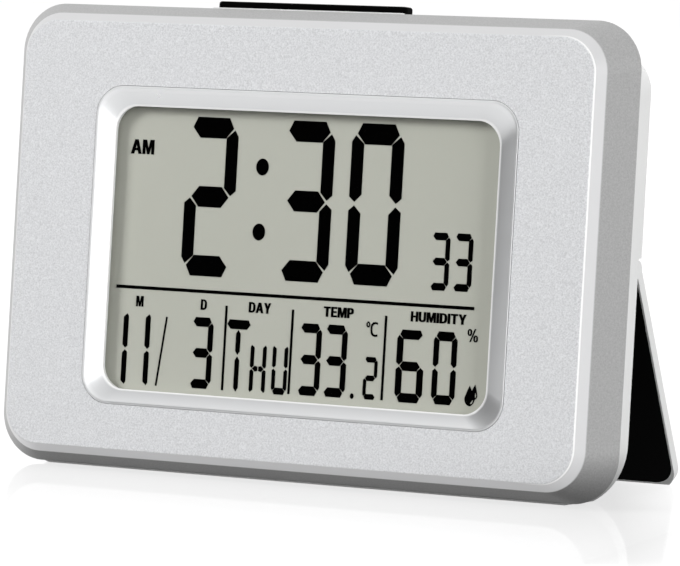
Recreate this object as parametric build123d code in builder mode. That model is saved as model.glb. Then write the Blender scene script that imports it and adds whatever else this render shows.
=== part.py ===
from build123d import *
from math import atan2, cos, degrees, hypot, radians, sin, tan
import os

os.makedirs("parts", exist_ok=True)

# A desk clock with a thermometer and a hygrometer, in millimetres and degrees.
# The case leans back on a fold-out stand. The sizes below are measured on the leaning case
# itself: x across it, u up it, and n out of its front, from the seam between its two shells.

# Stance
lean = 7
stand_swing = 30.5
seam_lift = 0.25            # the front housing's lower edge stays this far off the table

# Clearances shared by several pieces
running_gap = 0.3           # round a part that slides
pin_gap = 0.05              # round the hinge pins
seat_gap = 0.1              # between parts that are fixed together
overrun = 3                 # how far a cut runs past the solid

# Front housing: a flat face, a narrow bevel and a flared skirt
housing_width = 150
housing_height = 100.5
housing_corner = 10.5
skirt_flare_x = 4.95
skirt_flare_u = 2.45
skirt_depth = 6.95
skirt_corner = 9
bevel_step = 1.75
bevel_depth = 2.55
face_corner = 7.5
face_wall = 1.8
side_wall = 2.0
rim_wall = 2.2
edge_round = 0.35

# Display: window opening, sloped bezel and the layers behind it
window_width = 92.5
window_margin_u = 39.4      # the case's height above and below the window, together
window_corner = 5.3
window_x = 0.85
window_u = -2.46
bezel_shift_x = 0.25        # from the window's middle to the bezel's
bezel_shift_u = 0.48
bezel_border_x = 4.55
bezel_border_u = 3.75
bezel_corner = 6.5
bezel_rim = 0.5
bezel_proud = 0.15
bezel_slope_depth = 1.4
bezel_flange = 2.0
bezel_flange_thickness = 1.4
bezel_depth = 3.3
lens_overlap = 1.4
lens_thickness = 1.0
glass_thickness = 1.0
glass_margin_x = 2.0
glass_margin_u = 2.4
glass_ledge = 3.5
segment_height = 0.08
light_guide_thickness = 1.6
light_guide_margin = 1.0
lcd_frame_wall = 2.4
connector_inset = 5.0
connector_thickness = 2.0
led_width = 3.0
led_thickness = 1.6
led_drop = 10

# Main board and what is soldered to it
board_side_room = 16         # from the case's edges to the board's
board_foot_room = 5.25
board_head_room = 7.05
board_thickness = 1.2
board_front_n = 0.7
board_hole_radius = 1.3
board_screw_inset = 3.5      # from the board's edges to its screws
board_screw_foot = 4.0
board_screw_head = 3.6
board_boss_radius = 2.4
chip_size = 10
chip_height = 1.6
chip_x = -10
chip_rise = 28.25           # above the case's lower edge
crystal_radius = 1.0
crystal_length = 6.2
crystal_x = 4
buzzer_radius = 6
buzzer_height = 4.0
buzzer_inset = 35           # from the case's end
buzzer_rise = 23.25
sound_hole_radius = 0.8
sound_hole_ring = 3.0
sound_hole_count = 5
sensor_width = 12
sensor_height = 8
sensor_thickness = 3.0
sensor_inset = 35
sensor_rise = 20.25
vent_slot_width = 12
vent_slot_height = 1.4
vent_slot_pitch = 3.0
vent_slot_count = 5
thermistor_width = 3.2
thermistor_height = 2.0
thermistor_step = 11

# Rear shell
flange_inset = 1.2
flange_depth = 1.4
collar_rise = 0.1
shell_depth = 10.7
shell_side_draft = 1.35
shell_top_inset = 4.5
shell_top_draft = 1.8
shell_drop = 1.0
shell_corner = 11
shell_foot_corner = 16
shell_back_corner = 8
shell_back_foot_corner = 13
shell_wall = 1.6
shell_top_wall = 2.2
shell_rim_wall = 3.6
shell_floor_wall = 4.2
back_round = 1.4
lip_height = 1.5
lip_wall = 1.2
case_screw_inset = 10.4
case_screw_foot = 8.75
case_screw_head = 13.75
case_boss_radius = 3.0

# Screws
screw_radius = 1.1
screw_clearance = 0.25
screw_head_radius = 2.1
screw_head_height = 1.3
screw_slot_width = 0.5
head_recess_radius = 2.7
head_recess_depth = 2.2
case_screw_bite = 4.0
board_screw_bite = 4.2

# Stand and hinge
stand_thickness = 2.7
stand_side_inset = 0.1
stand_foot_corner = 4.8
stand_edge_round = 0.4
fold_gap = 0.3
knuckle_radius = 1.9
hinge_drop = 51.15          # below the case's upper edge
hinge_wall = 1.4
ledge_gap = 0.4
lug_inset = 26.45           # from the shell's side
lug_width = 8
pin_radius = 0.75
pin_reach = 5
lining_thickness = 1.0
lining_inset = 0.4
lining_top = 2.2
stop_width = 12
stop_reach = 4.2
stop_thickness = 1.2
stop_wall = 1.2

# Snooze and light bar
snooze_width = 45.8
snooze_x = -4.75
snooze_depth = 4.2
snooze_rise = 1.6
snooze_wall = 1.2
snooze_wing = 1.5
snooze_wing_height = 1.4
snooze_travel = 0.8
snooze_round = 0.6

# Keys on the back, with a pinhole for the reset switch in the sixth place
key_width = 12
key_height = 5
key_proud = 0.8
key_travel = 0.5
key_flange = 1.0
key_flange_thickness = 1.0
key_stem_radius = 1.5
key_round = 0.4
key_inset = 42              # from the case's end to the inner column
key_pitch_x = 17
key_drop = 16.25            # from the case's upper edge to the first row
key_pitch_u = 10
reset_hole_radius = 1.0
switch_size = 6
switch_height = 3.4
switch_plunger_radius = 1.6
switch_plunger_height = 0.5

# Battery bay for two cells side by side
cell_radius = 5.25
cell_length = 43.7
cell_nub_radius = 1.9
cell_nub_length = 0.8
cell_gap = 0.5
cell_play = 0.2
bay_key_step = 42.5         # from the inner column of keys
bay_drop = 28.25
bay_end_room = 2.4
bay_side_room = 0.3
bay_wall = 1.4
bay_floor = 0.8
contact_thickness = 0.4
contact_width = 8
contact_rise = 1.2
spring_base_radius = 3.0
spring_tip_radius = 1.6
terminal_tail = 5
terminal_tail_width = 2.4
door_seat = 1.0
door_thickness = 1.1
door_corner = 1.5
door_rib = 0.8
door_rib_depth = 2.0
door_grip_length = 12
door_grip_width = 0.8
door_grip_height = 0.4
door_grip_pitch = 2.0
door_grip_count = 3

# Display layout: place and size of each character as shares of the window's width and height
digit_shares = [
    ("2", -0.2514, 0.1940, 0.1345, 0.5580),
    ("3", 0.0022, 0.1956, 0.1345, 0.5580),
    ("0", 0.1805, 0.1969, 0.1345, 0.5580),
    ("3", 0.3540, 0.0145, 0.0482, 0.1980),
    ("3", 0.4121, 0.0155, 0.0482, 0.1980),
    ("1", -0.4788, -0.3575, 0.0567, 0.2950),
    ("1", -0.4194, -0.3565, 0.0567, 0.2950),
    ("3", -0.2517, -0.3542, 0.0595, 0.2500),
    ("T", -0.1551, -0.3551, 0.0752, 0.2509),
    ("H", -0.0991, -0.3958, 0.0420, 0.1949),
    ("U", -0.0418, -0.3892, 0.0400, 0.1823),
    ("3", 0.0335, -0.3510, 0.0601, 0.2500),
    ("3", 0.1002, -0.3499, 0.0601, 0.2500),
    ("2", 0.1936, -0.4006, 0.0350, 0.1470),
    ("6", 0.2930, -0.3502, 0.0700, 0.2500),
    ("0", 0.3809, -0.3482, 0.0595, 0.2500),
]
segments_of = {"0": "abcdef", "1": "bc", "2": "abged", "3": "abgcd", "6": "afgecd",
               "T": "amn", "H": "bcefhk", "U": "bcdef"}
bar_share = 0.131            # thickness of the level segments, of the character's height
post_share = 0.232           # thickness of the upright segments, of the character's width
segment_gap_share = 0.011    # gap between segments, of the character's height
dot_shares = [(-0.1167, 0.3076, 0.0328, 0.0590), (-0.1167, 0.0806, 0.0328, 0.0590),
              (0.1492, -0.4662, 0.0094, 0.0190)]
# ruled lines: both ends, and the thickness as a share of the window's width
rule_shares = [(-0.4890, -0.1385, 0.4478, -0.1385, 0.0076),
               (-0.1903, -0.1834, -0.1903, -0.4794, 0.0058),
               (-0.0152, -0.1817, -0.0152, -0.4757, 0.0058),
               (0.2261, -0.1819, 0.2261, -0.4729, 0.0058),
               (-0.3478, -0.2360, -0.3680, -0.4810, 0.0044)]

# Places that follow from the sizes above
tilt = radians(lean)
skirt_width = housing_width - 2 * skirt_flare_x
skirt_height = housing_height - 2 * skirt_flare_u
face_width = skirt_width - 2 * bevel_step
face_height = skirt_height - 2 * bevel_step
face_n = skirt_depth + bevel_depth
face_inner_n = face_n - face_wall
window_height = housing_height - window_margin_u
bezel_width = window_width + 2 * bezel_border_x
bezel_height = window_height + 2 * bezel_border_u
bezel_x = window_x + bezel_shift_x
bezel_u = window_u + bezel_shift_u
bezel_back_n = face_n - bezel_depth
lens_back_n = bezel_back_n
lcd_front_n = lens_back_n - running_gap
lcd_middle_n = lcd_front_n - glass_thickness
lcd_back_n = lcd_middle_n - glass_thickness
light_guide_back_n = lcd_back_n - light_guide_thickness
board_back_n = board_front_n - board_thickness
glass_width = window_width + 2 * glass_margin_x
glass_height = window_height + 2 * glass_margin_u
connector_length = glass_width - 2 * connector_inset
board_width = housing_width - 2 * board_side_room
board_bottom = housing_height / 2 - board_foot_room
board_top = housing_height / 2 - board_head_room
chip_u = chip_rise - housing_height / 2
buzzer_x = buzzer_inset - housing_width / 2
buzzer_u = buzzer_rise - housing_height / 2
sensor_x = housing_width / 2 - sensor_inset
sensor_u = sensor_rise - housing_height / 2
lower_depth = shell_depth - stand_thickness - fold_gap
hinge_u = housing_height / 2 - hinge_drop
hinge_n = knuckle_radius - shell_depth
groove_radius = knuckle_radius + running_gap
ledge_u = hinge_u + knuckle_radius + ledge_gap
shell_half_width = housing_width / 2 - flange_inset
shell_back_half_width = shell_half_width - shell_side_draft
lug_x = shell_back_half_width - lug_inset
shell_top_u = housing_height / 2 - shell_top_inset
shell_back_top_u = shell_top_u - shell_top_draft
shell_bottom_u = -housing_height / 2 - shell_drop
key_x = housing_width / 2 - key_inset
key_u = housing_height / 2 - key_drop
bay_x = key_x - bay_key_step
bay_u = housing_height / 2 - bay_drop
bay_length = cell_length + cell_nub_length + bay_end_room
bay_height = 4 * cell_radius + cell_gap + 2 * bay_side_room
cell_offset_u = cell_radius + cell_gap / 2
door_width = bay_length + 2 * door_seat
door_height = bay_height + 2 * door_seat
door_inner_n = door_thickness - shell_depth
bay_seat_n = door_inner_n + running_gap
cell_n = door_inner_n + running_gap + cell_radius
bay_floor_n = cell_n + cell_radius + seat_gap
snooze_front_n = -flange_depth - running_gap
snooze_n = snooze_front_n - snooze_depth / 2
snooze_top_u = housing_height / 2 + snooze_rise
cavity_half_width = shell_half_width - shell_rim_wall
cavity_top_u = shell_top_u - shell_top_wall
cavity_back_top_u = shell_back_top_u - shell_wall
cavity_bottom_u = shell_floor_wall - housing_height / 2
ledge_top_u = ledge_u + shell_wall
lip_taper = lip_height / skirt_depth
lip_width = (housing_width - 2 * (rim_wall + seat_gap)
             - 2 * lip_taper * (skirt_flare_x + side_wall - rim_wall))
lip_length = (housing_height - 2 * (rim_wall + seat_gap)
              - 2 * lip_taper * (skirt_flare_u + side_wall - rim_wall))
wing_top_u = cavity_back_top_u - running_gap
wing_bottom_u = wing_top_u - snooze_wing_height
snooze_switch_top = wing_bottom_u - snooze_travel - running_gap - switch_plunger_height
bay_left = bay_x - bay_length / 2
bay_right = bay_x + bay_length / 2
tail_n = board_back_n - contact_thickness / 2
stop_pocket_low = stop_thickness / 2 + running_gap
stop_pocket_high = stop_reach * sin(radians(stand_swing)) + stop_pocket_low
stop_pocket_reach = stop_reach + running_gap
key_tip_n = -shell_depth - key_proud
key_flange_n = shell_wall + running_gap - shell_depth
key_stem_n = board_back_n - switch_height - switch_plunger_height - running_gap - key_travel
key_places = {
    "key_mode": (key_x, key_u), "key_alarm": (key_x + key_pitch_x, key_u),
    "key_up": (key_x, key_u - key_pitch_u), "key_unit": (key_x + key_pitch_x, key_u - key_pitch_u),
    "key_down": (key_x, key_u - 2 * key_pitch_u),
}
reset_place = (key_x + key_pitch_x, key_u - 2 * key_pitch_u)
case_screw_places = [(side * (housing_width / 2 - case_screw_inset), u) for side in (-1, 1)
                     for u in (case_screw_foot - housing_height / 2,
                               housing_height / 2 - case_screw_head)]
board_screw_places = [(side * (board_width / 2 - board_screw_inset), u) for side in (-1, 1)
                      for u in (board_screw_foot - board_bottom, board_top - board_screw_head)]

# The seam's own place: the rear shell's underside lies on z = 0, with its middle at y = 0
seam_z = housing_height / 2 * cos(tilt) + seam_lift
seam_y = seam_z * tan(tilt) - lower_depth / (2 * cos(tilt))
case_up = Vector(0, sin(tilt), cos(tilt))
case_front = Vector(0, -cos(tilt), sin(tilt))
seam = Plane(origin=(0, seam_y, seam_z), x_dir=(1, 0, 0), z_dir=case_front)
front_axis = Axis(seam.origin, case_front)
splay = radians(stand_swing - lean)


def level(n):
    """The plane across the case at n in front of the seam."""
    return seam.offset(n)


def case_point(x, u, n):
    """A point given across, up and out of the case."""
    return Vector(x, 0, 0) + seam.origin + case_up * u + case_front * n


def across(x, u, n, swing=0):
    """The plane that faces +X at a point of the case; its x runs to the back, its y up."""
    turn = tilt - radians(swing)
    return Plane(origin=case_point(x, u, n), x_dir=(0, cos(turn), -sin(turn)), z_dir=(1, 0, 0))


def stand_level(n):
    """The plane along the open stand's plate, n in front of the hinge axis."""
    turn = tilt - radians(stand_swing)
    front = Vector(0, -cos(turn), sin(turn))
    return Plane(origin=case_point(0, hinge_u, hinge_n) + front * n, x_dir=(1, 0, 0), z_dir=front)


def upright(x, u, n):
    """The plane that faces up the case at a point; its x runs across, its y to the back."""
    return Plane(origin=case_point(x, u, n), x_dir=(1, 0, 0), z_dir=case_up)


def round_corners(sketch, low_radius, high_radius):
    """Rounds a sketch's lower two corners, then its upper two."""
    fillet(sketch.vertices().group_by(Axis.Y)[0], low_radius)
    fillet(sketch.vertices().group_by(Axis.Y)[-1], high_radius)


# Front housing
with BuildPart() as front_housing:
    with BuildSketch(level(0)):
        RectangleRounded(housing_width, housing_height, housing_corner)
    with BuildSketch(level(skirt_depth)):
        RectangleRounded(skirt_width, skirt_height, skirt_corner)
    loft()
    with BuildSketch(level(skirt_depth)):
        RectangleRounded(skirt_width, skirt_height, skirt_corner)
    with BuildSketch(level(face_n)):
        RectangleRounded(face_width, face_height, face_corner)
    loft()
    fillet(front_housing.edges().group_by(front_axis)[-1], edge_round)
    fillet(front_housing.edges().group_by(front_axis)[0], edge_round)
    with BuildSketch(level(0)):
        RectangleRounded(housing_width - 2 * rim_wall, housing_height - 2 * rim_wall,
                         housing_corner - rim_wall)
    with BuildSketch(level(skirt_depth)):
        RectangleRounded(skirt_width - 2 * side_wall, skirt_height - 2 * side_wall,
                         skirt_corner - side_wall)
    loft(mode=Mode.SUBTRACT)
    with BuildSketch(level(skirt_depth)):
        RectangleRounded(skirt_width - 2 * side_wall, skirt_height - 2 * side_wall,
                         skirt_corner - side_wall)
    extrude(amount=face_inner_n - skirt_depth, mode=Mode.SUBTRACT)
    # opening for the bezel
    with BuildSketch(level(face_inner_n)):
        with Locations((bezel_x, bezel_u)):
            RectangleRounded(bezel_width + 2 * seat_gap, bezel_height + 2 * seat_gap,
                             bezel_corner + seat_gap)
    extrude(amount=face_wall + overrun, mode=Mode.SUBTRACT)
    # bosses for the case screws and the board screws
    with BuildSketch(level(0)):
        with Locations(*case_screw_places):
            Circle(case_boss_radius)
    extrude(amount=face_inner_n)
    with BuildSketch(level(board_front_n)):
        with Locations(*board_screw_places):
            Circle(board_boss_radius)
    extrude(amount=face_inner_n - board_front_n)
    with BuildSketch(level(0)):
        with Locations(*case_screw_places):
            Circle(screw_radius + pin_gap)
    extrude(amount=case_screw_bite + screw_radius, mode=Mode.SUBTRACT)
    with BuildSketch(level(board_front_n)):
        with Locations(*board_screw_places):
            Circle(screw_radius + pin_gap)
    extrude(amount=board_screw_bite + screw_radius, mode=Mode.SUBTRACT)
front_housing.part.label = "front_housing"
export_step(front_housing.part, "parts/front_housing.step")

# Bezel: a ring with a flange behind the face and a slope down to the window
with BuildPart() as display_bezel:
    with BuildSketch(level(bezel_back_n)):
        with Locations((bezel_x, bezel_u)):
            RectangleRounded(bezel_width + 2 * bezel_flange, bezel_height + 2 * bezel_flange,
                             bezel_corner + bezel_flange)
    extrude(amount=bezel_flange_thickness)
    with BuildSketch(level(bezel_back_n)):
        with Locations((bezel_x, bezel_u)):
            RectangleRounded(bezel_width, bezel_height, bezel_corner)
    extrude(amount=bezel_depth + bezel_proud)
    fillet(display_bezel.edges().group_by(front_axis)[-1], bezel_proud)
    with BuildSketch(level(bezel_back_n)):
        with Locations((window_x, window_u)):
            RectangleRounded(window_width, window_height, window_corner)
    extrude(amount=bezel_depth + overrun, mode=Mode.SUBTRACT)
    with BuildSketch(level(face_n - bezel_slope_depth)):
        with Locations((window_x, window_u)):
            RectangleRounded(window_width, window_height, window_corner)
    with BuildSketch(level(face_n + bezel_proud)):
        with Locations((bezel_x, bezel_u)):
            RectangleRounded(bezel_width - 2 * bezel_rim, bezel_height - 2 * bezel_rim,
                             bezel_corner - bezel_rim)
    loft(mode=Mode.SUBTRACT)
    # rebate for the window lens
    with BuildSketch(level(bezel_back_n)):
        with Locations((window_x, window_u)):
            RectangleRounded(window_width + 2 * lens_overlap, window_height + 2 * lens_overlap,
                             window_corner + lens_overlap)
    extrude(amount=lens_thickness + seat_gap, mode=Mode.SUBTRACT)
display_bezel.part.label = "display_bezel"
export_step(display_bezel.part, "parts/display_bezel.step")

with BuildPart() as display_window:
    with BuildSketch(level(lens_back_n)):
        with Locations((window_x, window_u)):
            RectangleRounded(window_width + 2 * (lens_overlap - seat_gap),
                             window_height + 2 * (lens_overlap - seat_gap),
                             window_corner + lens_overlap - seat_gap)
    extrude(amount=lens_thickness)
display_window.part.label = "display_window"
export_step(display_window.part, "parts/display_window.step")

# Liquid crystal cell: two glasses, the rear one shorter to bare the contact ledge
with BuildPart() as lcd_front_glass:
    with BuildSketch(level(lcd_middle_n)):
        with Locations((window_x, window_u)):
            Rectangle(glass_width, glass_height)
    extrude(amount=glass_thickness)
lcd_front_glass.part.label = "lcd_front_glass"
export_step(lcd_front_glass.part, "parts/lcd_front_glass.step")

with BuildPart() as lcd_rear_glass:
    with BuildSketch(level(lcd_back_n)):
        with Locations((window_x, window_u + glass_ledge / 2)):
            Rectangle(glass_width, glass_height - glass_ledge)
    extrude(amount=glass_thickness)
lcd_rear_glass.part.label = "lcd_rear_glass"
export_step(lcd_rear_glass.part, "parts/lcd_rear_glass.step")


def segment_outlines(width, height):
    """The outlines of a character's segments about its middle, by their usual letters."""
    right, top = width / 2, height / 2
    bar, post, gap = bar_share * height, post_share * width, segment_gap_share * height
    corner_x = right - 0.3 * post - gap
    middle_x = right - 0.45 * post - gap
    level_bar = [(corner_x, top - bar / 2), (corner_x - 0.25 * bar, top),
                 (0.25 * bar - corner_x, top), (-corner_x, top - bar / 2),
                 (0.42 * bar - corner_x, top - bar), (corner_x - 0.42 * bar, top - bar)]
    middle_bar = [(middle_x, 0), (middle_x - 0.4 * bar, bar / 2), (0.4 * bar - middle_x, bar / 2),
                  (-middle_x, 0), (0.4 * bar - middle_x, -bar / 2), (middle_x - 0.4 * bar, -bar / 2)]
    head = top - bar / 2 - gap
    upright_bar = [(right - 0.3 * post, head), (right, head - 0.47 * post),
                   (right, gap + 0.38 * post), (right - 0.45 * post, gap),
                   (right - post, gap + 0.56 * post), (right - post, head - 0.6 * post)]
    half_bar = [(middle_x, 0), (middle_x - 0.4 * bar, 0.4 * bar), (gap, 0.3 * bar),
                (gap, -0.3 * bar), (middle_x - 0.4 * bar, -0.4 * bar)]
    stem_half, stem_head = 0.34 * post, head - bar / 2
    stem = [(0, stem_head), (stem_half, stem_head - post / 2), (stem_half, gap + post / 2),
            (0, gap), (-stem_half, gap + post / 2), (-stem_half, stem_head - post / 2)]
    foot_stem = [(0, -gap), (stem_half, -gap - post / 2), (stem_half, post / 2 - top),
                 (0, -top), (-stem_half, post / 2 - top), (-stem_half, -gap - post / 2)]
    return {
        "a": level_bar, "d": [(x, -y) for x, y in level_bar], "g": middle_bar,
        "b": upright_bar, "c": [(x, -y) for x, y in upright_bar],
        "f": [(-x, y) for x, y in upright_bar], "e": [(-x, -y) for x, y in upright_bar],
        "h": [(-x, y) for x, y in half_bar], "k": half_bar, "m": stem, "n": foot_stem,
    }


# Dark segments of the display, as thin plates on the glass
with BuildPart() as lcd_segments:
    for character, x_share, u_share, width_share, height_share in digit_shares:
        outlines = segment_outlines(width_share * window_width, height_share * window_height)
        place = (window_x + x_share * window_width, window_u + u_share * window_height)
        with BuildSketch(level(lcd_front_n)):
            with Locations(place):
                for letter in segments_of[character]:
                    Polygon(*outlines[letter], align=None)
        extrude(amount=segment_height)
    with BuildSketch(level(lcd_front_n)):
        for x_share, u_share, width_share, height_share in dot_shares:
            with Locations((window_x + x_share * window_width, window_u + u_share * window_height)):
                Ellipse(width_share * window_width / 2, height_share * window_height / 2)
        for x0, u0, x1, u1, width_share in rule_shares:
            run, rise = (x1 - x0) * window_width, (u1 - u0) * window_height
            middle_x = window_x + (x0 + x1) / 2 * window_width
            middle_u = window_u + (u0 + u1) / 2 * window_height
            with Locations(Location((middle_x, middle_u), degrees(atan2(rise, run)))):
                Rectangle(hypot(run, rise), width_share * window_width)
    extrude(amount=segment_height)
lcd_segments.part.label = "lcd_segments"
export_step(lcd_segments.part, "parts/lcd_segments.step")

with BuildPart() as light_guide:
    with BuildSketch(level(light_guide_back_n)):
        with Locations((window_x, window_u + glass_ledge / 2)):
            Rectangle(window_width, glass_height - glass_ledge - 2 * light_guide_margin)
    extrude(amount=light_guide_thickness)
light_guide.part.label = "light_guide"
export_step(light_guide.part, "parts/light_guide.step")

# Frame that holds the glasses over the board, with a post at each corner
frame_x = glass_width / 2 + seat_gap + lcd_frame_wall / 2
frame_u = glass_height / 2 + seat_gap + lcd_frame_wall / 2
with BuildPart() as lcd_frame:
    with BuildSketch(level(light_guide_back_n)):
        with Locations((window_x, window_u)):
            Rectangle(2 * frame_x + lcd_frame_wall, 2 * frame_u + lcd_frame_wall)
            Rectangle(glass_width + 2 * seat_gap, glass_height + 2 * seat_gap, mode=Mode.SUBTRACT)
    extrude(amount=lcd_front_n - light_guide_back_n)
    with BuildSketch(level(board_front_n)):
        with Locations((window_x, window_u)):
            with GridLocations(2 * frame_x, 2 * frame_u, 2, 2):
                Circle(lcd_frame_wall / 2)
    extrude(amount=lcd_front_n - board_front_n)
lcd_frame.part.label = "lcd_frame"
export_step(lcd_frame.part, "parts/lcd_frame.step")

with BuildPart() as connector_strip:
    with BuildSketch(level(board_front_n)):
        with Locations((window_x, window_u - glass_height / 2 + glass_ledge / 2)):
            Rectangle(connector_length, connector_thickness)
    extrude(amount=lcd_middle_n - board_front_n)
connector_strip.part.label = "connector_strip"
export_step(connector_strip.part, "parts/connector_strip.step")

with BuildPart() as backlight_leds:
    with BuildSketch(level(board_front_n)):
        with Locations((window_x, window_u - led_drop)):
            with GridLocations(window_width + led_thickness + 2 * seat_gap, 0, 2, 1):
                Rectangle(led_thickness, led_width)
    extrude(amount=lcd_back_n - seat_gap - board_front_n)
backlight_leds.part.label = "backlight_leds"
export_step(backlight_leds.part, "parts/backlight_leds.step")

# Main board, cut out round the battery bay
with BuildPart() as main_board:
    with BuildSketch(level(board_back_n)):
        with Locations((0, (board_top - board_bottom) / 2)):
            Rectangle(board_width, board_top + board_bottom)
        with Locations((bay_x, bay_u)):
            Rectangle(bay_length + 2 * (bay_wall + running_gap),
                      bay_height + 2 * (bay_wall + running_gap), mode=Mode.SUBTRACT)
        with Locations(*board_screw_places):
            Circle(board_hole_radius, mode=Mode.SUBTRACT)
    extrude(amount=board_thickness)
main_board.part.label = "main_board"
export_step(main_board.part, "parts/main_board.step")

with BuildPart() as controller_chip:
    with BuildSketch(level(board_back_n)):
        with Locations((chip_x, chip_u)):
            Rectangle(chip_size, chip_size)
    extrude(amount=-chip_height)
    chamfer(controller_chip.faces().sort_by(front_axis)[0].edges(), chip_height / 4)
controller_chip.part.label = "controller_chip"
export_step(controller_chip.part, "parts/controller_chip.step")

with BuildPart() as watch_crystal:
    with BuildSketch(across(crystal_x, chip_u, board_back_n - crystal_radius)):
        Circle(crystal_radius)
    extrude(amount=crystal_length)
watch_crystal.part.label = "watch_crystal"
export_step(watch_crystal.part, "parts/watch_crystal.step")

with BuildPart() as buzzer:
    with BuildSketch(level(board_back_n)):
        with Locations((buzzer_x, buzzer_u)):
            Circle(buzzer_radius)
    extrude(amount=-buzzer_height)
    with BuildSketch(level(board_back_n - buzzer_height)):
        with Locations((buzzer_x, buzzer_u)):
            Circle(sound_hole_radius)
    extrude(amount=buzzer_height / 2, mode=Mode.SUBTRACT)
buzzer.part.label = "buzzer"
export_step(buzzer.part, "parts/buzzer.step")

with BuildPart() as humidity_sensor:
    with BuildSketch(level(board_back_n)):
        with Locations((sensor_x, sensor_u)):
            Rectangle(sensor_width, sensor_height)
    extrude(amount=-sensor_thickness)
    with BuildSketch(level(board_back_n - sensor_thickness)):
        with Locations((sensor_x, sensor_u)):
            with GridLocations(sensor_width / 5, 0, 4, 1):
                Rectangle(sensor_width / 12, sensor_height * 0.7)
    extrude(amount=sensor_thickness / 3, mode=Mode.SUBTRACT)
humidity_sensor.part.label = "humidity_sensor"
export_step(humidity_sensor.part, "parts/humidity_sensor.step")

with BuildPart() as thermistor:
    with BuildSketch(level(board_back_n)):
        with Locations((sensor_x + thermistor_step, sensor_u)):
            Rectangle(thermistor_width, thermistor_height)
    extrude(amount=-thermistor_height)
    fillet(thermistor.faces().sort_by(front_axis)[0].edges(), thermistor_height / 4)
thermistor.part.label = "thermistor"
export_step(thermistor.part, "parts/thermistor.step")

# Push switches under the keys, one more for the reset pinhole, and the snooze bar's own
with BuildPart() as key_switches:
    with BuildSketch(level(board_back_n)):
        with Locations(*key_places.values(), reset_place):
            Rectangle(switch_size, switch_size)
    extrude(amount=-switch_height)
    with BuildSketch(level(board_back_n - switch_height)):
        with Locations(*key_places.values(), reset_place):
            Circle(switch_plunger_radius)
    extrude(amount=-switch_plunger_height)
key_switches.part.label = "key_switches"
export_step(key_switches.part, "parts/key_switches.step")

with BuildPart() as snooze_switch:
    with BuildSketch(upright(snooze_x, snooze_switch_top, board_back_n - switch_size / 2)):
        Rectangle(switch_size, switch_size)
    extrude(amount=-switch_height)
    with BuildSketch(upright(snooze_x, snooze_switch_top, board_back_n - switch_size / 2)):
        Circle(switch_plunger_radius)
    extrude(amount=switch_plunger_height)
snooze_switch.part.label = "snooze_switch"
export_step(snooze_switch.part, "parts/snooze_switch.step")

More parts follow.
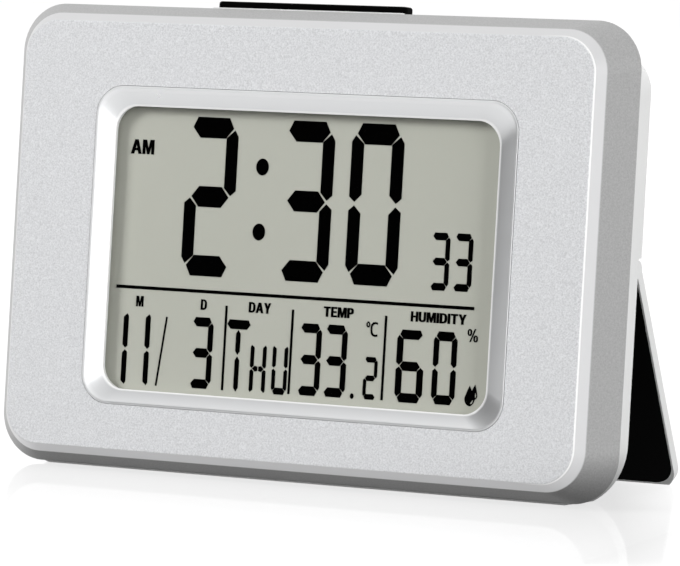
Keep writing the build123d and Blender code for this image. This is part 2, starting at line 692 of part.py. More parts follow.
# Rear shell
with BuildPart() as rear_shell:
    # tapered box, rounded at the back
    with BuildSketch(level(0)) as rim:
        with Locations((0, (shell_top_u + shell_bottom_u) / 2)):
            Rectangle(2 * shell_half_width, shell_top_u - shell_bottom_u)
        round_corners(rim, shell_foot_corner, shell_corner)
    with BuildSketch(level(-shell_depth)) as back:
        with Locations((0, (shell_back_top_u + shell_bottom_u) / 2)):
            Rectangle(2 * shell_back_half_width, shell_back_top_u - shell_bottom_u)
        round_corners(back, shell_back_foot_corner, shell_back_corner)
    loft()
    fillet(rear_shell.edges().group_by(front_axis)[0], back_round)
    # flange that closes the front housing, with a low collar before the snooze bar
    with BuildSketch(level(0)):
        RectangleRounded(housing_width - 2 * flange_inset, housing_height - 2 * flange_inset,
                         housing_corner - flange_inset)
        with Locations((snooze_x, housing_height / 4)):
            Rectangle(snooze_width, housing_height / 2 + 2 * collar_rise)
    extrude(amount=-flange_depth)
    # cavity: shallow behind the stand, deep above the ledge
    with BuildSketch(level(0)) as cavity:
        with Locations((0, (cavity_top_u + cavity_bottom_u) / 2)):
            Rectangle(2 * cavity_half_width, cavity_top_u - cavity_bottom_u)
        round_corners(cavity, shell_foot_corner - shell_wall, shell_corner - shell_wall)
    extrude(amount=shell_wall - lower_depth, mode=Mode.SUBTRACT)
    with BuildSketch(level(shell_wall - lower_depth)):
        with Locations((0, (cavity_back_top_u + ledge_top_u) / 2)):
            RectangleRounded(2 * cavity_half_width, cavity_back_top_u - ledge_top_u,
                             shell_back_corner - shell_wall)
    extrude(amount=lower_depth - shell_depth, mode=Mode.SUBTRACT)
    # recess for the folded stand
    with BuildSketch(level(-lower_depth)):
        with Locations((0, ledge_u - housing_height / 2)):
            Rectangle(housing_width, housing_height)
    extrude(amount=-shell_depth, mode=Mode.SUBTRACT)
    # rib behind the hinge, block round the stand's stop, and the two lugs
    with BuildSketch(level(shell_wall / 2 - lower_depth)):
        with Locations((0, (ledge_top_u + hinge_u - groove_radius - hinge_wall) / 2)):
            Rectangle(2 * cavity_half_width, ledge_top_u - hinge_u + groove_radius + hinge_wall)
    extrude(amount=hinge_n + groove_radius + hinge_wall + lower_depth - shell_wall / 2)
    with BuildSketch(across(-stop_width / 2 - running_gap - stop_wall, hinge_u, hinge_n)):
        with Locations((-stop_pocket_reach - stop_wall, -stop_pocket_low - stop_wall)):
            Rectangle(stop_pocket_reach + stop_wall - groove_radius,
                      stop_pocket_low + stop_pocket_high + 2 * stop_wall,
                      align=(Align.MIN, Align.MIN))
    extrude(amount=stop_width + 2 * (running_gap + stop_wall))
    with BuildSketch(across(-housing_width / 2, hinge_u, hinge_n)):
        Circle(groove_radius)
    extrude(amount=housing_width, mode=Mode.SUBTRACT)
    with BuildSketch(across(-stop_width / 2 - running_gap, hinge_u, hinge_n)):
        with Locations((-stop_pocket_reach, -stop_pocket_low)):
            Rectangle(stop_pocket_reach, stop_pocket_low + stop_pocket_high,
                      align=(Align.MIN, Align.MIN))
    extrude(amount=stop_width + 2 * running_gap, mode=Mode.SUBTRACT)
    for side in (-1, 1):
        with BuildSketch(across(side * lug_x - lug_width / 2, hinge_u, hinge_n)):
            Circle(knuckle_radius)
            with Locations((-groove_radius - hinge_wall / 2, 0)):
                Rectangle(groove_radius + hinge_wall / 2, 2 * knuckle_radius,
                          align=(Align.MIN, Align.CENTER))
            Circle(pin_radius, mode=Mode.SUBTRACT)
        extrude(amount=lug_width)
    # bosses for the case screws, with their clearance holes and head recesses
    for x, u in case_screw_places:
        back_n = -shell_depth if u > ledge_u else -lower_depth
        with BuildSketch(level(0)):
            with Locations((x, u)):
                Circle(case_boss_radius)
        extrude(amount=back_n + shell_wall / 2)
        with BuildSketch(level(0)):
            with Locations((x, u)):
                Circle(screw_radius + screw_clearance)
        extrude(amount=back_n, mode=Mode.SUBTRACT)
        with BuildSketch(level(back_n + head_recess_depth)):
            with Locations((x, u)):
                Circle(head_recess_radius)
        extrude(amount=-head_recess_depth, mode=Mode.SUBTRACT)
    # battery bay, its seat for the door, and slots for the terminals' tails
    with BuildSketch(level(bay_floor_n + bay_floor)):
        with Locations((bay_x, bay_u)):
            Rectangle(bay_length + 2 * bay_wall, bay_height + 2 * bay_wall)
    extrude(amount=shell_wall / 2 - shell_depth - bay_floor_n - bay_floor)
    with BuildSketch(level(bay_floor_n)):
        with Locations((bay_x, bay_u)):
            Rectangle(bay_length, bay_height)
    extrude(amount=-shell_depth - bay_floor_n, mode=Mode.SUBTRACT)
    with BuildSketch(level(bay_seat_n)):
        with Locations((bay_x, bay_u)):
            RectangleRounded(door_width + 2 * running_gap, door_height + 2 * running_gap,
                             door_corner + running_gap)
    extrude(amount=-shell_depth - bay_seat_n, mode=Mode.SUBTRACT)
    with BuildSketch(across(bay_left, bay_u, tail_n)):
        with Locations((0, cell_offset_u), (0, -cell_offset_u)):
            Rectangle(contact_thickness, terminal_tail_width)
    extrude(amount=-bay_wall, mode=Mode.SUBTRACT)
    # holes for the keys and the reset pin
    with BuildSketch(level(-shell_depth)):
        with Locations(*key_places.values()):
            SlotOverall(key_width + 2 * running_gap, key_height + 2 * running_gap)
        with Locations(reset_place):
            Circle(reset_hole_radius)
    extrude(amount=shell_wall, mode=Mode.SUBTRACT)
    # opening for the snooze bar
    with BuildSketch(upright(snooze_x, cavity_back_top_u - shell_wall, snooze_n)):
        Rectangle(snooze_width + 2 * running_gap, snooze_depth + 2 * running_gap)
    extrude(amount=2 * shell_wall + shell_top_draft + overrun, mode=Mode.SUBTRACT)
    # vents over the sensors and sound holes over the buzzer
    with BuildSketch(level(-lower_depth)):
        with Locations((sensor_x + thermistor_step / 2, sensor_u)):
            with GridLocations(0, vent_slot_pitch, 1, vent_slot_count):
                SlotOverall(vent_slot_width + thermistor_step, vent_slot_height)
        with Locations((buzzer_x, buzzer_u)):
            Circle(sound_hole_radius)
            with PolarLocations(sound_hole_ring, sound_hole_count):
                Circle(sound_hole_radius)
    extrude(amount=shell_wall, mode=Mode.SUBTRACT)
    # lip inside the front housing
    with BuildSketch(level(0)):
        RectangleRounded(lip_width, lip_length, housing_corner - rim_wall)
        RectangleRounded(lip_width - 2 * lip_wall, lip_length - 2 * lip_wall,
                         housing_corner - rim_wall - lip_wall, mode=Mode.SUBTRACT)
    extrude(amount=lip_height)
    # flat underside on the table
    split(bisect_by=Plane.XY, keep=Keep.TOP)
rear_shell.part.label = "rear_shell"
export_step(rear_shell.part, "parts/rear_shell.step")

# Screws: the case screws start at their recesses' floors, the board screws on the board
with BuildPart() as case_screws:
    for x, u in case_screw_places:
        floor_n = head_recess_depth - (shell_depth if u > ledge_u else lower_depth)
        with BuildSketch(level(floor_n)):
            with Locations((x, u)):
                Circle(screw_head_radius)
        extrude(amount=-screw_head_height)
        with BuildSketch(level(floor_n)):
            with Locations((x, u)):
                Circle(screw_radius)
        extrude(amount=case_screw_bite - floor_n)
        with BuildSketch(level(floor_n - screw_head_height)):
            with Locations((x, u)):
                Rectangle(2 * screw_radius, screw_slot_width)
                Rectangle(screw_slot_width, 2 * screw_radius)
        extrude(amount=screw_head_height / 2, mode=Mode.SUBTRACT)
case_screws.part.label = "case_screws"
export_step(case_screws.part, "parts/case_screws.step")

with BuildPart() as board_screws:
    with BuildSketch(level(board_back_n)):
        with Locations(*board_screw_places):
            Circle(screw_head_radius)
    extrude(amount=-screw_head_height)
    with BuildSketch(level(board_back_n)):
        with Locations(*board_screw_places):
            Circle(screw_radius)
    extrude(amount=board_thickness + board_screw_bite)
    with BuildSketch(level(board_back_n - screw_head_height)):
        with Locations(*board_screw_places):
            Rectangle(2 * screw_radius, screw_slot_width)
            Rectangle(screw_slot_width, 2 * screw_radius)
    extrude(amount=screw_head_height / 2, mode=Mode.SUBTRACT)
board_screws.part.label = "board_screws"
export_step(board_screws.part, "parts/board_screws.step")

# Cells, head to tail, and their contacts on the bay's end walls
cell_start = contact_thickness + contact_rise + cell_play
with BuildPart() as battery_cells:
    for side in (-1, 1):
        start = bay_x + side * (cell_start - bay_length / 2)
        with BuildSketch(across(start, bay_u - side * cell_offset_u, cell_n)):
            Circle(cell_radius)
        extrude(amount=side * cell_length)
        with BuildSketch(across(start, bay_u - side * cell_offset_u, cell_n)):
            Circle(cell_nub_radius)
        extrude(amount=side * (cell_length + cell_nub_length))
battery_cells.part.label = "battery_cells"
export_step(battery_cells.part, "parts/battery_cells.step")

with BuildPart() as minus_terminal:
    with BuildSketch(across(bay_left, bay_u - cell_offset_u, cell_n)):
        Rectangle(contact_width, contact_width)
    extrude(amount=contact_thickness)
    with BuildSketch(across(bay_left + contact_thickness, bay_u - cell_offset_u, cell_n)):
        Circle(spring_base_radius)
    with BuildSketch(across(bay_left + contact_thickness + contact_rise, bay_u - cell_offset_u, cell_n)):
        Circle(spring_tip_radius)
    loft()
    with BuildSketch(across(bay_left + contact_thickness, bay_u - cell_offset_u, tail_n)):
        Rectangle(contact_thickness, terminal_tail_width)
    extrude(amount=-contact_thickness - bay_wall - terminal_tail)
minus_terminal.part.label = "minus_terminal"
export_step(minus_terminal.part, "parts/minus_terminal.step")

with BuildPart() as plus_terminal:
    with BuildSketch(across(bay_left, bay_u + cell_offset_u, cell_n)):
        Rectangle(contact_width, contact_width)
    extrude(amount=contact_thickness)
    with BuildSketch(across(bay_left + contact_thickness, bay_u + cell_offset_u, tail_n)):
        Rectangle(contact_thickness, terminal_tail_width)
    extrude(amount=-contact_thickness - bay_wall - terminal_tail)
plus_terminal.part.label = "plus_terminal"
export_step(plus_terminal.part, "parts/plus_terminal.step")

with BuildPart() as link_contact:
    with BuildSketch(across(bay_right, bay_u, cell_n)):
        Rectangle(contact_width, contact_width + 2 * cell_offset_u)
    extrude(amount=-contact_thickness)
    with BuildSketch(across(bay_right - contact_thickness, bay_u + cell_offset_u, cell_n)):
        Circle(spring_base_radius)
    with BuildSketch(across(bay_right - contact_thickness - contact_rise, bay_u + cell_offset_u, cell_n)):
        Circle(spring_tip_radius)
    loft()
link_contact.part.label = "link_contact"
export_step(link_contact.part, "parts/link_contact.step")

# Battery door: a plate with two guide ribs and a ribbed grip
with BuildPart() as battery_door:
    with BuildSketch(level(door_inner_n)):
        with Locations((bay_x, bay_u)):
            RectangleRounded(door_width, door_height, door_corner)
    extrude(amount=-door_thickness)
    fillet(battery_door.edges().group_by(front_axis)[0], door_grip_height / 2)
    with BuildSketch(level(door_inner_n)):
        with Locations((bay_x, bay_u)):
            with GridLocations(0, bay_height - 2 * running_gap - door_rib, 1, 2):
                Rectangle(bay_length / 2, door_rib)
    extrude(amount=door_rib_depth)
    with BuildSketch(level(-shell_depth)):
        with Locations((bay_x, bay_u + bay_height / 2 - door_grip_pitch)):
            with GridLocations(0, door_grip_pitch, 1, door_grip_count):
                SlotOverall(door_grip_length, door_grip_width)
    extrude(amount=-door_grip_height)
battery_door.part.label = "battery_door"
export_step(battery_door.part, "parts/battery_door.step")

# Keys: a cap through the shell, a flange that keeps it in, and a stem over its switch
for name, place in key_places.items():
    with BuildPart() as key:
        with BuildSketch(level(key_tip_n)):
            with Locations(place):
                SlotOverall(key_width, key_height)
        extrude(amount=key_flange_n - key_tip_n)
        fillet(key.edges().group_by(front_axis)[0], key_round)
        with BuildSketch(level(key_flange_n)):
            with Locations(place):
                SlotOverall(key_width + 2 * key_flange, key_height + 2 * key_flange)
        extrude(amount=key_flange_thickness)
        with BuildSketch(level(key_flange_n)):
            with Locations(place):
                Circle(key_stem_radius)
        extrude(amount=key_stem_n - key_flange_n)
    key.part.label = name
    export_step(key.part, f"parts/{name}.step")

# Snooze and light bar: a hollow cap with a retaining wing at each end and a stem
with BuildPart() as snooze_bar:
    with BuildSketch(upright(snooze_x, wing_bottom_u, snooze_n)):
        RectangleRounded(snooze_width, snooze_depth, snooze_wall)
    extrude(amount=snooze_top_u - wing_bottom_u)
    fillet(snooze_bar.edges().group_by(Axis(seam.origin, case_up))[-1], snooze_round)
    with BuildSketch(upright(snooze_x, wing_bottom_u, snooze_n)):
        Rectangle(snooze_width + 2 * snooze_wing, snooze_depth - 2 * snooze_wall)
    extrude(amount=snooze_wing_height)
    with BuildSketch(upright(snooze_x, wing_bottom_u, snooze_n)):
        Rectangle(snooze_width - 2 * snooze_wall, snooze_depth - 2 * snooze_wall)
    extrude(amount=snooze_top_u - wing_bottom_u - snooze_wall, mode=Mode.SUBTRACT)
    with BuildSketch(upright(snooze_x, wing_bottom_u, board_back_n - switch_size / 2)):
        Circle(switch_plunger_radius)
    extrude(amount=snooze_top_u - wing_bottom_u - snooze_wall / 2)
snooze_bar.part.label = "snooze_bar"
export_step(snooze_bar.part, "parts/snooze_bar.step")

# Stand: a plate below a full-width knuckle, cut away at the shell's lugs, flat at its foot
stand_half_width = shell_back_half_width - stand_side_inset
hinge_z = case_point(0, hinge_u, hinge_n).Z
stand_length = (hinge_z + knuckle_radius * sin(splay)) / cos(splay)
lining_length = stand_length - stand_thickness * tan(splay) - lining_inset
stand_front_n = stand_thickness - knuckle_radius
with BuildPart() as stand:
    with BuildSketch(stand_level(-knuckle_radius)) as plate:
        with Locations((0, -stand_length / 2)):
            Rectangle(2 * stand_half_width, stand_length)
        fillet(plate.vertices().group_by(Axis.Y)[0], stand_foot_corner)
    extrude(amount=stand_thickness)
    plate_axis = Axis(stand_level(0).origin, stand_level(0).z_dir)
    rear_edges = stand.edges().group_by(plate_axis)[0]
    fillet(rear_edges.sort_by(Axis.Z)[:-1], stand_edge_round)
    with BuildSketch(across(-stand_half_width, hinge_u, hinge_n)):
        Circle(knuckle_radius)
    extrude(amount=2 * stand_half_width)
    for side in (-1, 1):
        notch = lug_width / 2 + running_gap
        with BuildSketch(across(side * lug_x - notch, hinge_u, hinge_n, stand_swing)):
            with Locations((0, knuckle_radius / 2)):
                Rectangle(4 * knuckle_radius, 3 * knuckle_radius + 2 * ledge_gap)
        extrude(amount=2 * notch, mode=Mode.SUBTRACT)
        reach = notch + pin_reach
        with BuildSketch(across(side * lug_x - reach, hinge_u, hinge_n)):
            Circle(pin_radius + pin_gap)
        extrude(amount=2 * reach, mode=Mode.SUBTRACT)
    # stop that meets the shell's pocket when the stand is open
    with BuildSketch(across(-stop_width / 2, hinge_u, hinge_n)):
        with Locations((-stop_reach, 0)):
            Rectangle(stop_reach, stop_thickness, align=(Align.MIN, Align.CENTER))
    extrude(amount=stop_width)
    # recess for the lining
    with BuildSketch(stand_level(stand_front_n)) as recess:
        with Locations((0, -(lining_length + lining_top) / 2)):
            Rectangle(2 * (stand_half_width - lining_inset), lining_length - lining_top)
        fillet(recess.vertices().group_by(Axis.Y)[0], stand_foot_corner - lining_inset)
    extrude(amount=-lining_thickness, mode=Mode.SUBTRACT)
    split(bisect_by=Plane.XY, keep=Keep.TOP)
stand.part.label = "stand"
export_step(stand.part, "parts/stand.step")

with BuildPart() as stand_lining:
    with BuildSketch(stand_level(stand_front_n)) as panel:
        with Locations((0, -(lining_length + lining_top) / 2)):
            Rectangle(2 * (stand_half_width - lining_inset), lining_length - lining_top)
        fillet(panel.vertices().group_by(Axis.Y)[0], stand_foot_corner - lining_inset)
    extrude(amount=-lining_thickness)
stand_lining.part.label = "stand_lining"
export_step(stand_lining.part, "parts/stand_lining.step")

# Steel pins, tight in the shell's lugs and free in the stand
with BuildPart() as hinge_pins:
    for side in (-1, 1):
        half_pin = lug_width / 2 + pin_reach
        with BuildSketch(across(side * lug_x - half_pin, hinge_u, hinge_n)):
            Circle(pin_radius)
        extrude(amount=2 * half_pin)
hinge_pins.part.label = "hinge_pins"
export_step(hinge_pins.part, "parts/hinge_pins.step")
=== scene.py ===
# %% [markdown]
# A desk clock with a thermometer and a hygrometer, dressed for the camera.
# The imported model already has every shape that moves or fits, so this lesson starts from it.
# What is left is what a maker calls finishing: paint, mouldings, glass, metal and print.
# Each step below says what a piece or finish is on the real clock, how it could be made, and
# why it is made this way.

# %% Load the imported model
import math

import bmesh
import bpy
from mathutils import Matrix, Vector


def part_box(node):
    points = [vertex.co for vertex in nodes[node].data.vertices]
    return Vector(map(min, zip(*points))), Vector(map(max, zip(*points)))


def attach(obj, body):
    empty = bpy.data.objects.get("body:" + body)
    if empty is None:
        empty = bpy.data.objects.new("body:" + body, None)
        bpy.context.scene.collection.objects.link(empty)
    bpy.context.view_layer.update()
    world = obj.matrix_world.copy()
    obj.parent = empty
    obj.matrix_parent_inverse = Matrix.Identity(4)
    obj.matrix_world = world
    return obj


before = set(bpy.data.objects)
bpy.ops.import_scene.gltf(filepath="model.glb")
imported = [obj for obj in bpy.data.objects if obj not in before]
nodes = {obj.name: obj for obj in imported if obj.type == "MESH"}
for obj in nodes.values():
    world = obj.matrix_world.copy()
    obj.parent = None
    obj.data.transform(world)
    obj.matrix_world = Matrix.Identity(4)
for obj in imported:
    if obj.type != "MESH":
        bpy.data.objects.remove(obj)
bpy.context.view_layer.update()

# %% [markdown]
# The clock leans back on its stand, so "up" and "out" on its face are not the world's.
# A place on it is easier to say as millimetres across, out of the front, and up the case,
# counted from the middle of the seam between its two shells. In this file, x, n and u stand
# for the three. One matrix turns such a place into the world. Its numbers are the packed
# model's own.

# %% The leaning case's own axes
MM = 0.001
LEAN = math.radians(7)
SEAM = Vector((0, 2.275718, 50.125444)) * MM
case = Matrix.Translation(SEAM) @ Matrix.Rotation(-LEAN, 4, "X")
FRONT = (case.to_3x3() @ Vector((0, -1, 0))).normalized()
print("the face looks along", tuple(round(v, 4) for v in FRONT))

# %% [markdown]
# The camera stands to the right of the clock and a little above the table, and it is far off
# behind a long lens, because the clock's edges hardly draw together in the photograph.
# It could be set by eye, but the case's straight edges pin it down much better: its place was
# found by fitting them to the photograph's lines. It is written in the case's axes, and the
# case's matrix then puts it in the world.
# The Standard view leaves each colour as it is, where the default one would grey the whites.

# %% Camera
AZIMUTH = math.radians(28.0627)
ELEVATION, ROLL = 0.00824211, 0.0572115         # radians
DISTANCE = 1025.6723 * MM
SIDE_STEP, UP_STEP = 6.2817554 * MM, -7.4018939 * MM
FOCAL_PIXELS, FRAME_PIXELS = 4810.927, 680      # the lens and the frame's width, in pixels
SENSOR = 36                                     # mm
NEAREST, FARTHEST = 0.05, 20                    # m, between which the camera sees

level_right = Vector((math.cos(AZIMUTH), math.sin(AZIMUTH), 0))
look = Vector((-math.sin(AZIMUTH) * math.cos(ELEVATION),
               math.cos(AZIMUTH) * math.cos(ELEVATION), -math.sin(ELEVATION)))
level_up = level_right.cross(look)
right = math.cos(ROLL) * level_right + math.sin(ROLL) * level_up
up = -math.sin(ROLL) * level_right + math.cos(ROLL) * level_up
stance = Matrix((right, up, -look)).transposed().to_4x4()
stance.translation = -DISTANCE * look + SIDE_STEP * level_right + UP_STEP * level_up

lens = bpy.data.cameras.new("photo_camera")
lens.sensor_fit = "HORIZONTAL"
lens.sensor_width = SENSOR
lens.lens = FOCAL_PIXELS / FRAME_PIXELS * SENSOR
lens.clip_start, lens.clip_end = NEAREST, FARTHEST
camera = bpy.data.objects.new("photo_camera", lens)
bpy.context.scene.collection.objects.link(camera)
camera.matrix_world = case @ stance
bpy.context.scene.camera = camera
bpy.context.scene.view_settings.view_transform = "Standard"
print("lens", round(lens.lens, 1), "mm at", tuple(round(v, 3) for v in camera.location))

# %% [markdown]
# Every finish is a small graph of nodes. It could be clicked together in the editor, but
# written out it can be read, compared and changed in one place. Three helpers keep it short.
# The first turns a colour picked on a screen, which is sRGB, into the linear light that
# shaders add up, by the sRGB standard's own formula. The second adds one node, with its
# settings and what feeds its sockets. The third starts an empty material.


# %% Helpers for finishes
def linear(code):
    """An sRGB hex colour as linear red, green, blue and alpha."""
    shares = [int(code[i:i + 2], 16) / 255 for i in (1, 3, 5)]
    return tuple(c / 12.92 if c <= 0.04045 else ((c + 0.055) / 1.055) ** 2.4
                 for c in shares) + (1.0,)


def add(tree, kind, sockets=None, **settings):
    """Adds a node: settings are its own, and sockets get a value or another node's output."""
    node = tree.nodes.new("ShaderNode" + kind)
    for name, value in settings.items():
        setattr(node, name, value)
    for name, value in (sockets or {}).items():
        if isinstance(value, bpy.types.NodeSocket):
            tree.links.new(value, node.inputs[name])
        else:
            node.inputs[name].default_value = value
    return node


def blank(name):
    """A new material with nothing in its graph, and that graph."""
    material = bpy.data.materials.new(name)
    material.use_nodes = True
    material.node_tree.nodes.clear()
    return material, material.node_tree


print("mid grey in linear light:", tuple(round(v, 3) for v in linear("#808080")))

# %% [markdown]
# Most of the clock is moulded plastic: ABS, injected into a polished or spark-eroded mould.
# What tells it from a flat colour is small: a slight unevenness of tone some centimetres
# wide, a fine grain that the mould leaves, and a gloss that is a little uneven with it.
# It could be a picture wrapped round each piece, but noise on Object coordinates needs no
# unwrapping and keeps its size in millimetres. One function makes all the plastics, from two
# near tones, the roughness, the grain's width and its depth. Real grain is nearer a tenth of
# a millimetre and is drawn coarser, so that it shows. The black plastic shines less than a
# real one, because the photograph's blacks are deep and show nothing of the room.


# %% Moulded plastic
ABS_IOR = 1.53
UNEVEN = 0.05                    # how far the roughness strays to either side


def moulded(name, tone, second_tone, roughness, grain=0.35, relief=0.02, cloud=18.0, shine=0.5):
    """A moulded plastic: two tones in clouds, under a grain. Widths and relief are in mm."""
    material, tree = blank(name)
    place = add(tree, "TexCoord").outputs["Object"]
    clouds = add(tree, "TexNoise", {"Vector": place, "Scale": 1 / (cloud * MM), "Detail": 3.0})
    grains = add(tree, "TexNoise", {"Vector": place, "Scale": 1 / (grain * MM), "Detail": 2.0})
    blend = add(tree, "Mix", {0: clouds.outputs["Fac"], 6: linear(tone), 7: linear(second_tone)},
                data_type="RGBA")
    gloss = add(tree, "MapRange", {"Value": grains.outputs["Fac"],
                                   "To Min": roughness - UNEVEN, "To Max": roughness + UNEVEN})
    bump = add(tree, "Bump", {"Height": grains.outputs["Fac"], "Distance": relief * MM,
                              "Strength": 0.6})
    shader = add(tree, "BsdfPrincipled", {
        "Base Color": blend.outputs[2], "Roughness": gloss.outputs["Result"],
        "Normal": bump.outputs["Normal"], "IOR": ABS_IOR, "Specular IOR Level": shine})
    add(tree, "OutputMaterial", {"Surface": shader.outputs["BSDF"]})
    return material


white_abs = moulded("white_abs_moulded", "#e1e1e0", "#dbdcdc", 0.42)
black_abs = moulded("black_abs_satin", "#040404", "#020202", 0.6, shine=0.02)
# the switches' housings, the black resin of the chip and the sensor's pale case
switch_abs = moulded("black_pbt_switch", "#1b1b1c", "#141415", 0.55)
chip_resin = moulded("black_epoxy_chip", "#161617", "#101011", 0.6, grain=0.2)
sensor_abs = moulded("white_polyamide_sensor", "#dfe1de", "#d3d6d2", 0.5)
# clear parts behind the display, which their own milky scatter makes look white
led_resin = moulded("cast_epoxy_lens", "#e9efe2", "#dfe6d8", 0.25, relief=0.004)
guide_acrylic = moulded("acrylic_light_guide", "#eef1ef", "#e6eae8", 0.2, relief=0.003)
print("plastics:", white_abs.name, black_abs.name)

# %% [markdown]
# Both lacquered mouldings look different from zone to zone: face, bevel, skirt, slopes and
# edges. The zones could be split into material slots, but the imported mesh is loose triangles
# that are better left alone. Each zone lies at its own distance in front of the seam, so one
# number tells them apart: how far the Object coordinates reach along the way the face looks.
# The helper gives a finish that number.


# %% How far in front of the seam
def ahead_of_seam(tree, place):
    """The output that says how many metres in front of the seam a place lies."""
    reach = add(tree, "VectorMath", {0: place, 1: FRONT}, operation="DOT_PRODUCT")
    return add(tree, "Math", {0: reach.outputs["Value"], 1: SEAM.dot(FRONT)},
               operation="SUBTRACT").outputs["Value"]


print("the seam lies", round(SEAM.dot(FRONT) / MM, 2), "mm along the way the face looks")

# %% [markdown]
# The front housing is ABS under a silver lacquer. The lacquer is the same all over, but the
# narrow bevel round the face was polished, so it mirrors the room like bare metal, and the
# skirt behind it is a coarser satin. Where the bevel's right side meets the face, a fine white
# line is a painted highlight: white is painted along that edge, on the right side alone.
# Masks from 0 to 1 say where each zone is. Their borders are soft, as sprayed ones are.

# %% Silver lacquer: its zones
SKIRT_N, FACE_N = 6.95, 9.5      # mm in front of the seam: where the bevel starts and ends
SKIRT_BORDER = 0.15              # mm to either side of the bevel's start
FACE_BORDER = 0.12, 0.02         # mm behind the face, between which bevel turns into face
# the painted highlight: a white line painted along the bevel's right edge, at the face
HIGHLIGHT_LINE, HIGHLIGHT_BORDER = 0.3, 0.1  # mm of the bevel: the white line's width and its soft border
HIGHLIGHT_X = 56, 66                   # mm right of the middle, between which the line appears
material, tree = blank("silver_flake_lacquer")
place = add(tree, "TexCoord").outputs["Object"]
ahead = ahead_of_seam(tree, place)
on_bevel = add(tree, "MapRange", {"Value": ahead, "From Min": (SKIRT_N - SKIRT_BORDER) * MM,
                                  "From Max": (SKIRT_N + SKIRT_BORDER) * MM})
on_face = add(tree, "MapRange", {"Value": ahead, "From Min": (FACE_N - FACE_BORDER[0]) * MM,
                                 "From Max": (FACE_N - FACE_BORDER[1]) * MM})
outermost = add(tree, "MapRange", {"Value": ahead,
                                   "From Min": (FACE_N - HIGHLIGHT_LINE - HIGHLIGHT_BORDER) * MM,
                                   "From Max": (FACE_N - HIGHLIGHT_LINE) * MM})
across = add(tree, "SeparateXYZ", {"Vector": place})
painted_highlight_side = add(tree, "MapRange", {"Value": across.outputs["X"], "From Min": HIGHLIGHT_X[0] * MM,
                                  "From Max": HIGHLIGHT_X[1] * MM})
painted_rim_highlight = add(tree, "Math", {0: outermost.outputs["Result"], 1: painted_highlight_side.outputs["Result"]},
             operation="MULTIPLY")
print("the bevel is", round(FACE_N - SKIRT_N, 2), "mm deep")

# %% [markdown]
# In the lacquer float tiny aluminium flakes, lighter or darker as they lie. Real ones are some
# hundredths of a millimetre. What the photograph shows is clumps of them, about a third of a
# millimetre across. They could be scattered as real specks, but there are tens of thousands,
# so a noise as coarse as the clumps stands in for them, and a colour ramp sets how far they
# differ. The bevel shows none, only faint clouds in its polish.

# %% Silver lacquer: its tones
FLAKE, POLISH_CLOUD = 0.36, 22   # mm
flakes = add(tree, "TexNoise", {"Vector": place, "Scale": 1 / (FLAKE * MM), "Detail": 2.5,
                                "Roughness": 0.7})
clouds = add(tree, "TexNoise", {"Vector": place, "Scale": 1 / (POLISH_CLOUD * MM),
                                "Detail": 2.0})
flake_tone = add(tree, "ValToRGB", {"Fac": flakes.outputs["Fac"]})
skirt_tone = add(tree, "ValToRGB", {"Fac": flakes.outputs["Fac"]})
for ramp, stops in ((flake_tone, ((0.3, "#c9cacc"), (0.7, "#edeef0"))),
                    (skirt_tone, ((0.25, "#9c9c9c"), (0.75, "#b4b4b4")))):
    for element, (position, code) in zip(ramp.color_ramp.elements, stops):
        element.position, element.color = position, linear(code)
polished = add(tree, "Mix", {0: clouds.outputs["Fac"], 6: linear("#dcdcdd"),
                             7: linear("#d6d6d7")}, data_type="RGBA")
# painted highlight: the bevel's tone turns white where the painted line lies
bevel_painted_highlight = add(tree, "Mix", {0: painted_rim_highlight.outputs["Value"], 6: polished.outputs[2],
                              7: linear("#ffffff")}, data_type="RGBA")
behind = add(tree, "Mix", {0: on_bevel.outputs["Result"], 6: skirt_tone.outputs["Color"],
                           7: bevel_painted_highlight.outputs[2]}, data_type="RGBA")
coat = add(tree, "Mix", {0: on_face.outputs["Result"], 6: behind.outputs[2],
                         7: flake_tone.outputs["Color"]}, data_type="RGBA")
print("flakes:", FLAKE, "mm")

# %% [markdown]
# The flakes lie in clear lacquer, so the face is no bare metal, but it is a little more so
# than plastic. Only the polished bevel is mostly metallic. The three zones also differ in
# roughness, and the flakes stand out from the lacquer by about a hundredth of a millimetre.

# %% Silver lacquer: its shine
SKIRT_ROUGH, BEVEL_ROUGH, FACE_ROUGH = 0.42, 0.34, 0.46
FLAKE_RELIEF = 0.012             # mm
gloss = add(tree, "MapRange", {"Value": on_bevel.outputs["Result"], "To Min": SKIRT_ROUGH,
                               "To Max": BEVEL_ROUGH})
dull = add(tree, "Mix", {0: on_face.outputs["Result"], 2: gloss.outputs["Result"],
                         3: FACE_ROUGH})
on_polish = add(tree, "Mix", {0: on_face.outputs["Result"], 2: on_bevel.outputs["Result"],
                              3: 0.0})
metal = add(tree, "MapRange", {"Value": on_polish.outputs[0], "To Min": 0.06, "To Max": 0.66})
bump = add(tree, "Bump", {"Height": flakes.outputs["Fac"], "Distance": FLAKE_RELIEF * MM,
                          "Strength": 0.5})
shader = add(tree, "BsdfPrincipled", {
    "Base Color": coat.outputs[2], "Metallic": metal.outputs["Result"],
    "Roughness": dull.outputs[0], "Normal": bump.outputs["Normal"], "IOR": 1.5,
    "Specular IOR Level": 0.3})
add(tree, "OutputMaterial", {"Surface": shader.outputs["BSDF"]})
silver_lacquer = material
print("lacquer:", len(tree.nodes), "nodes")
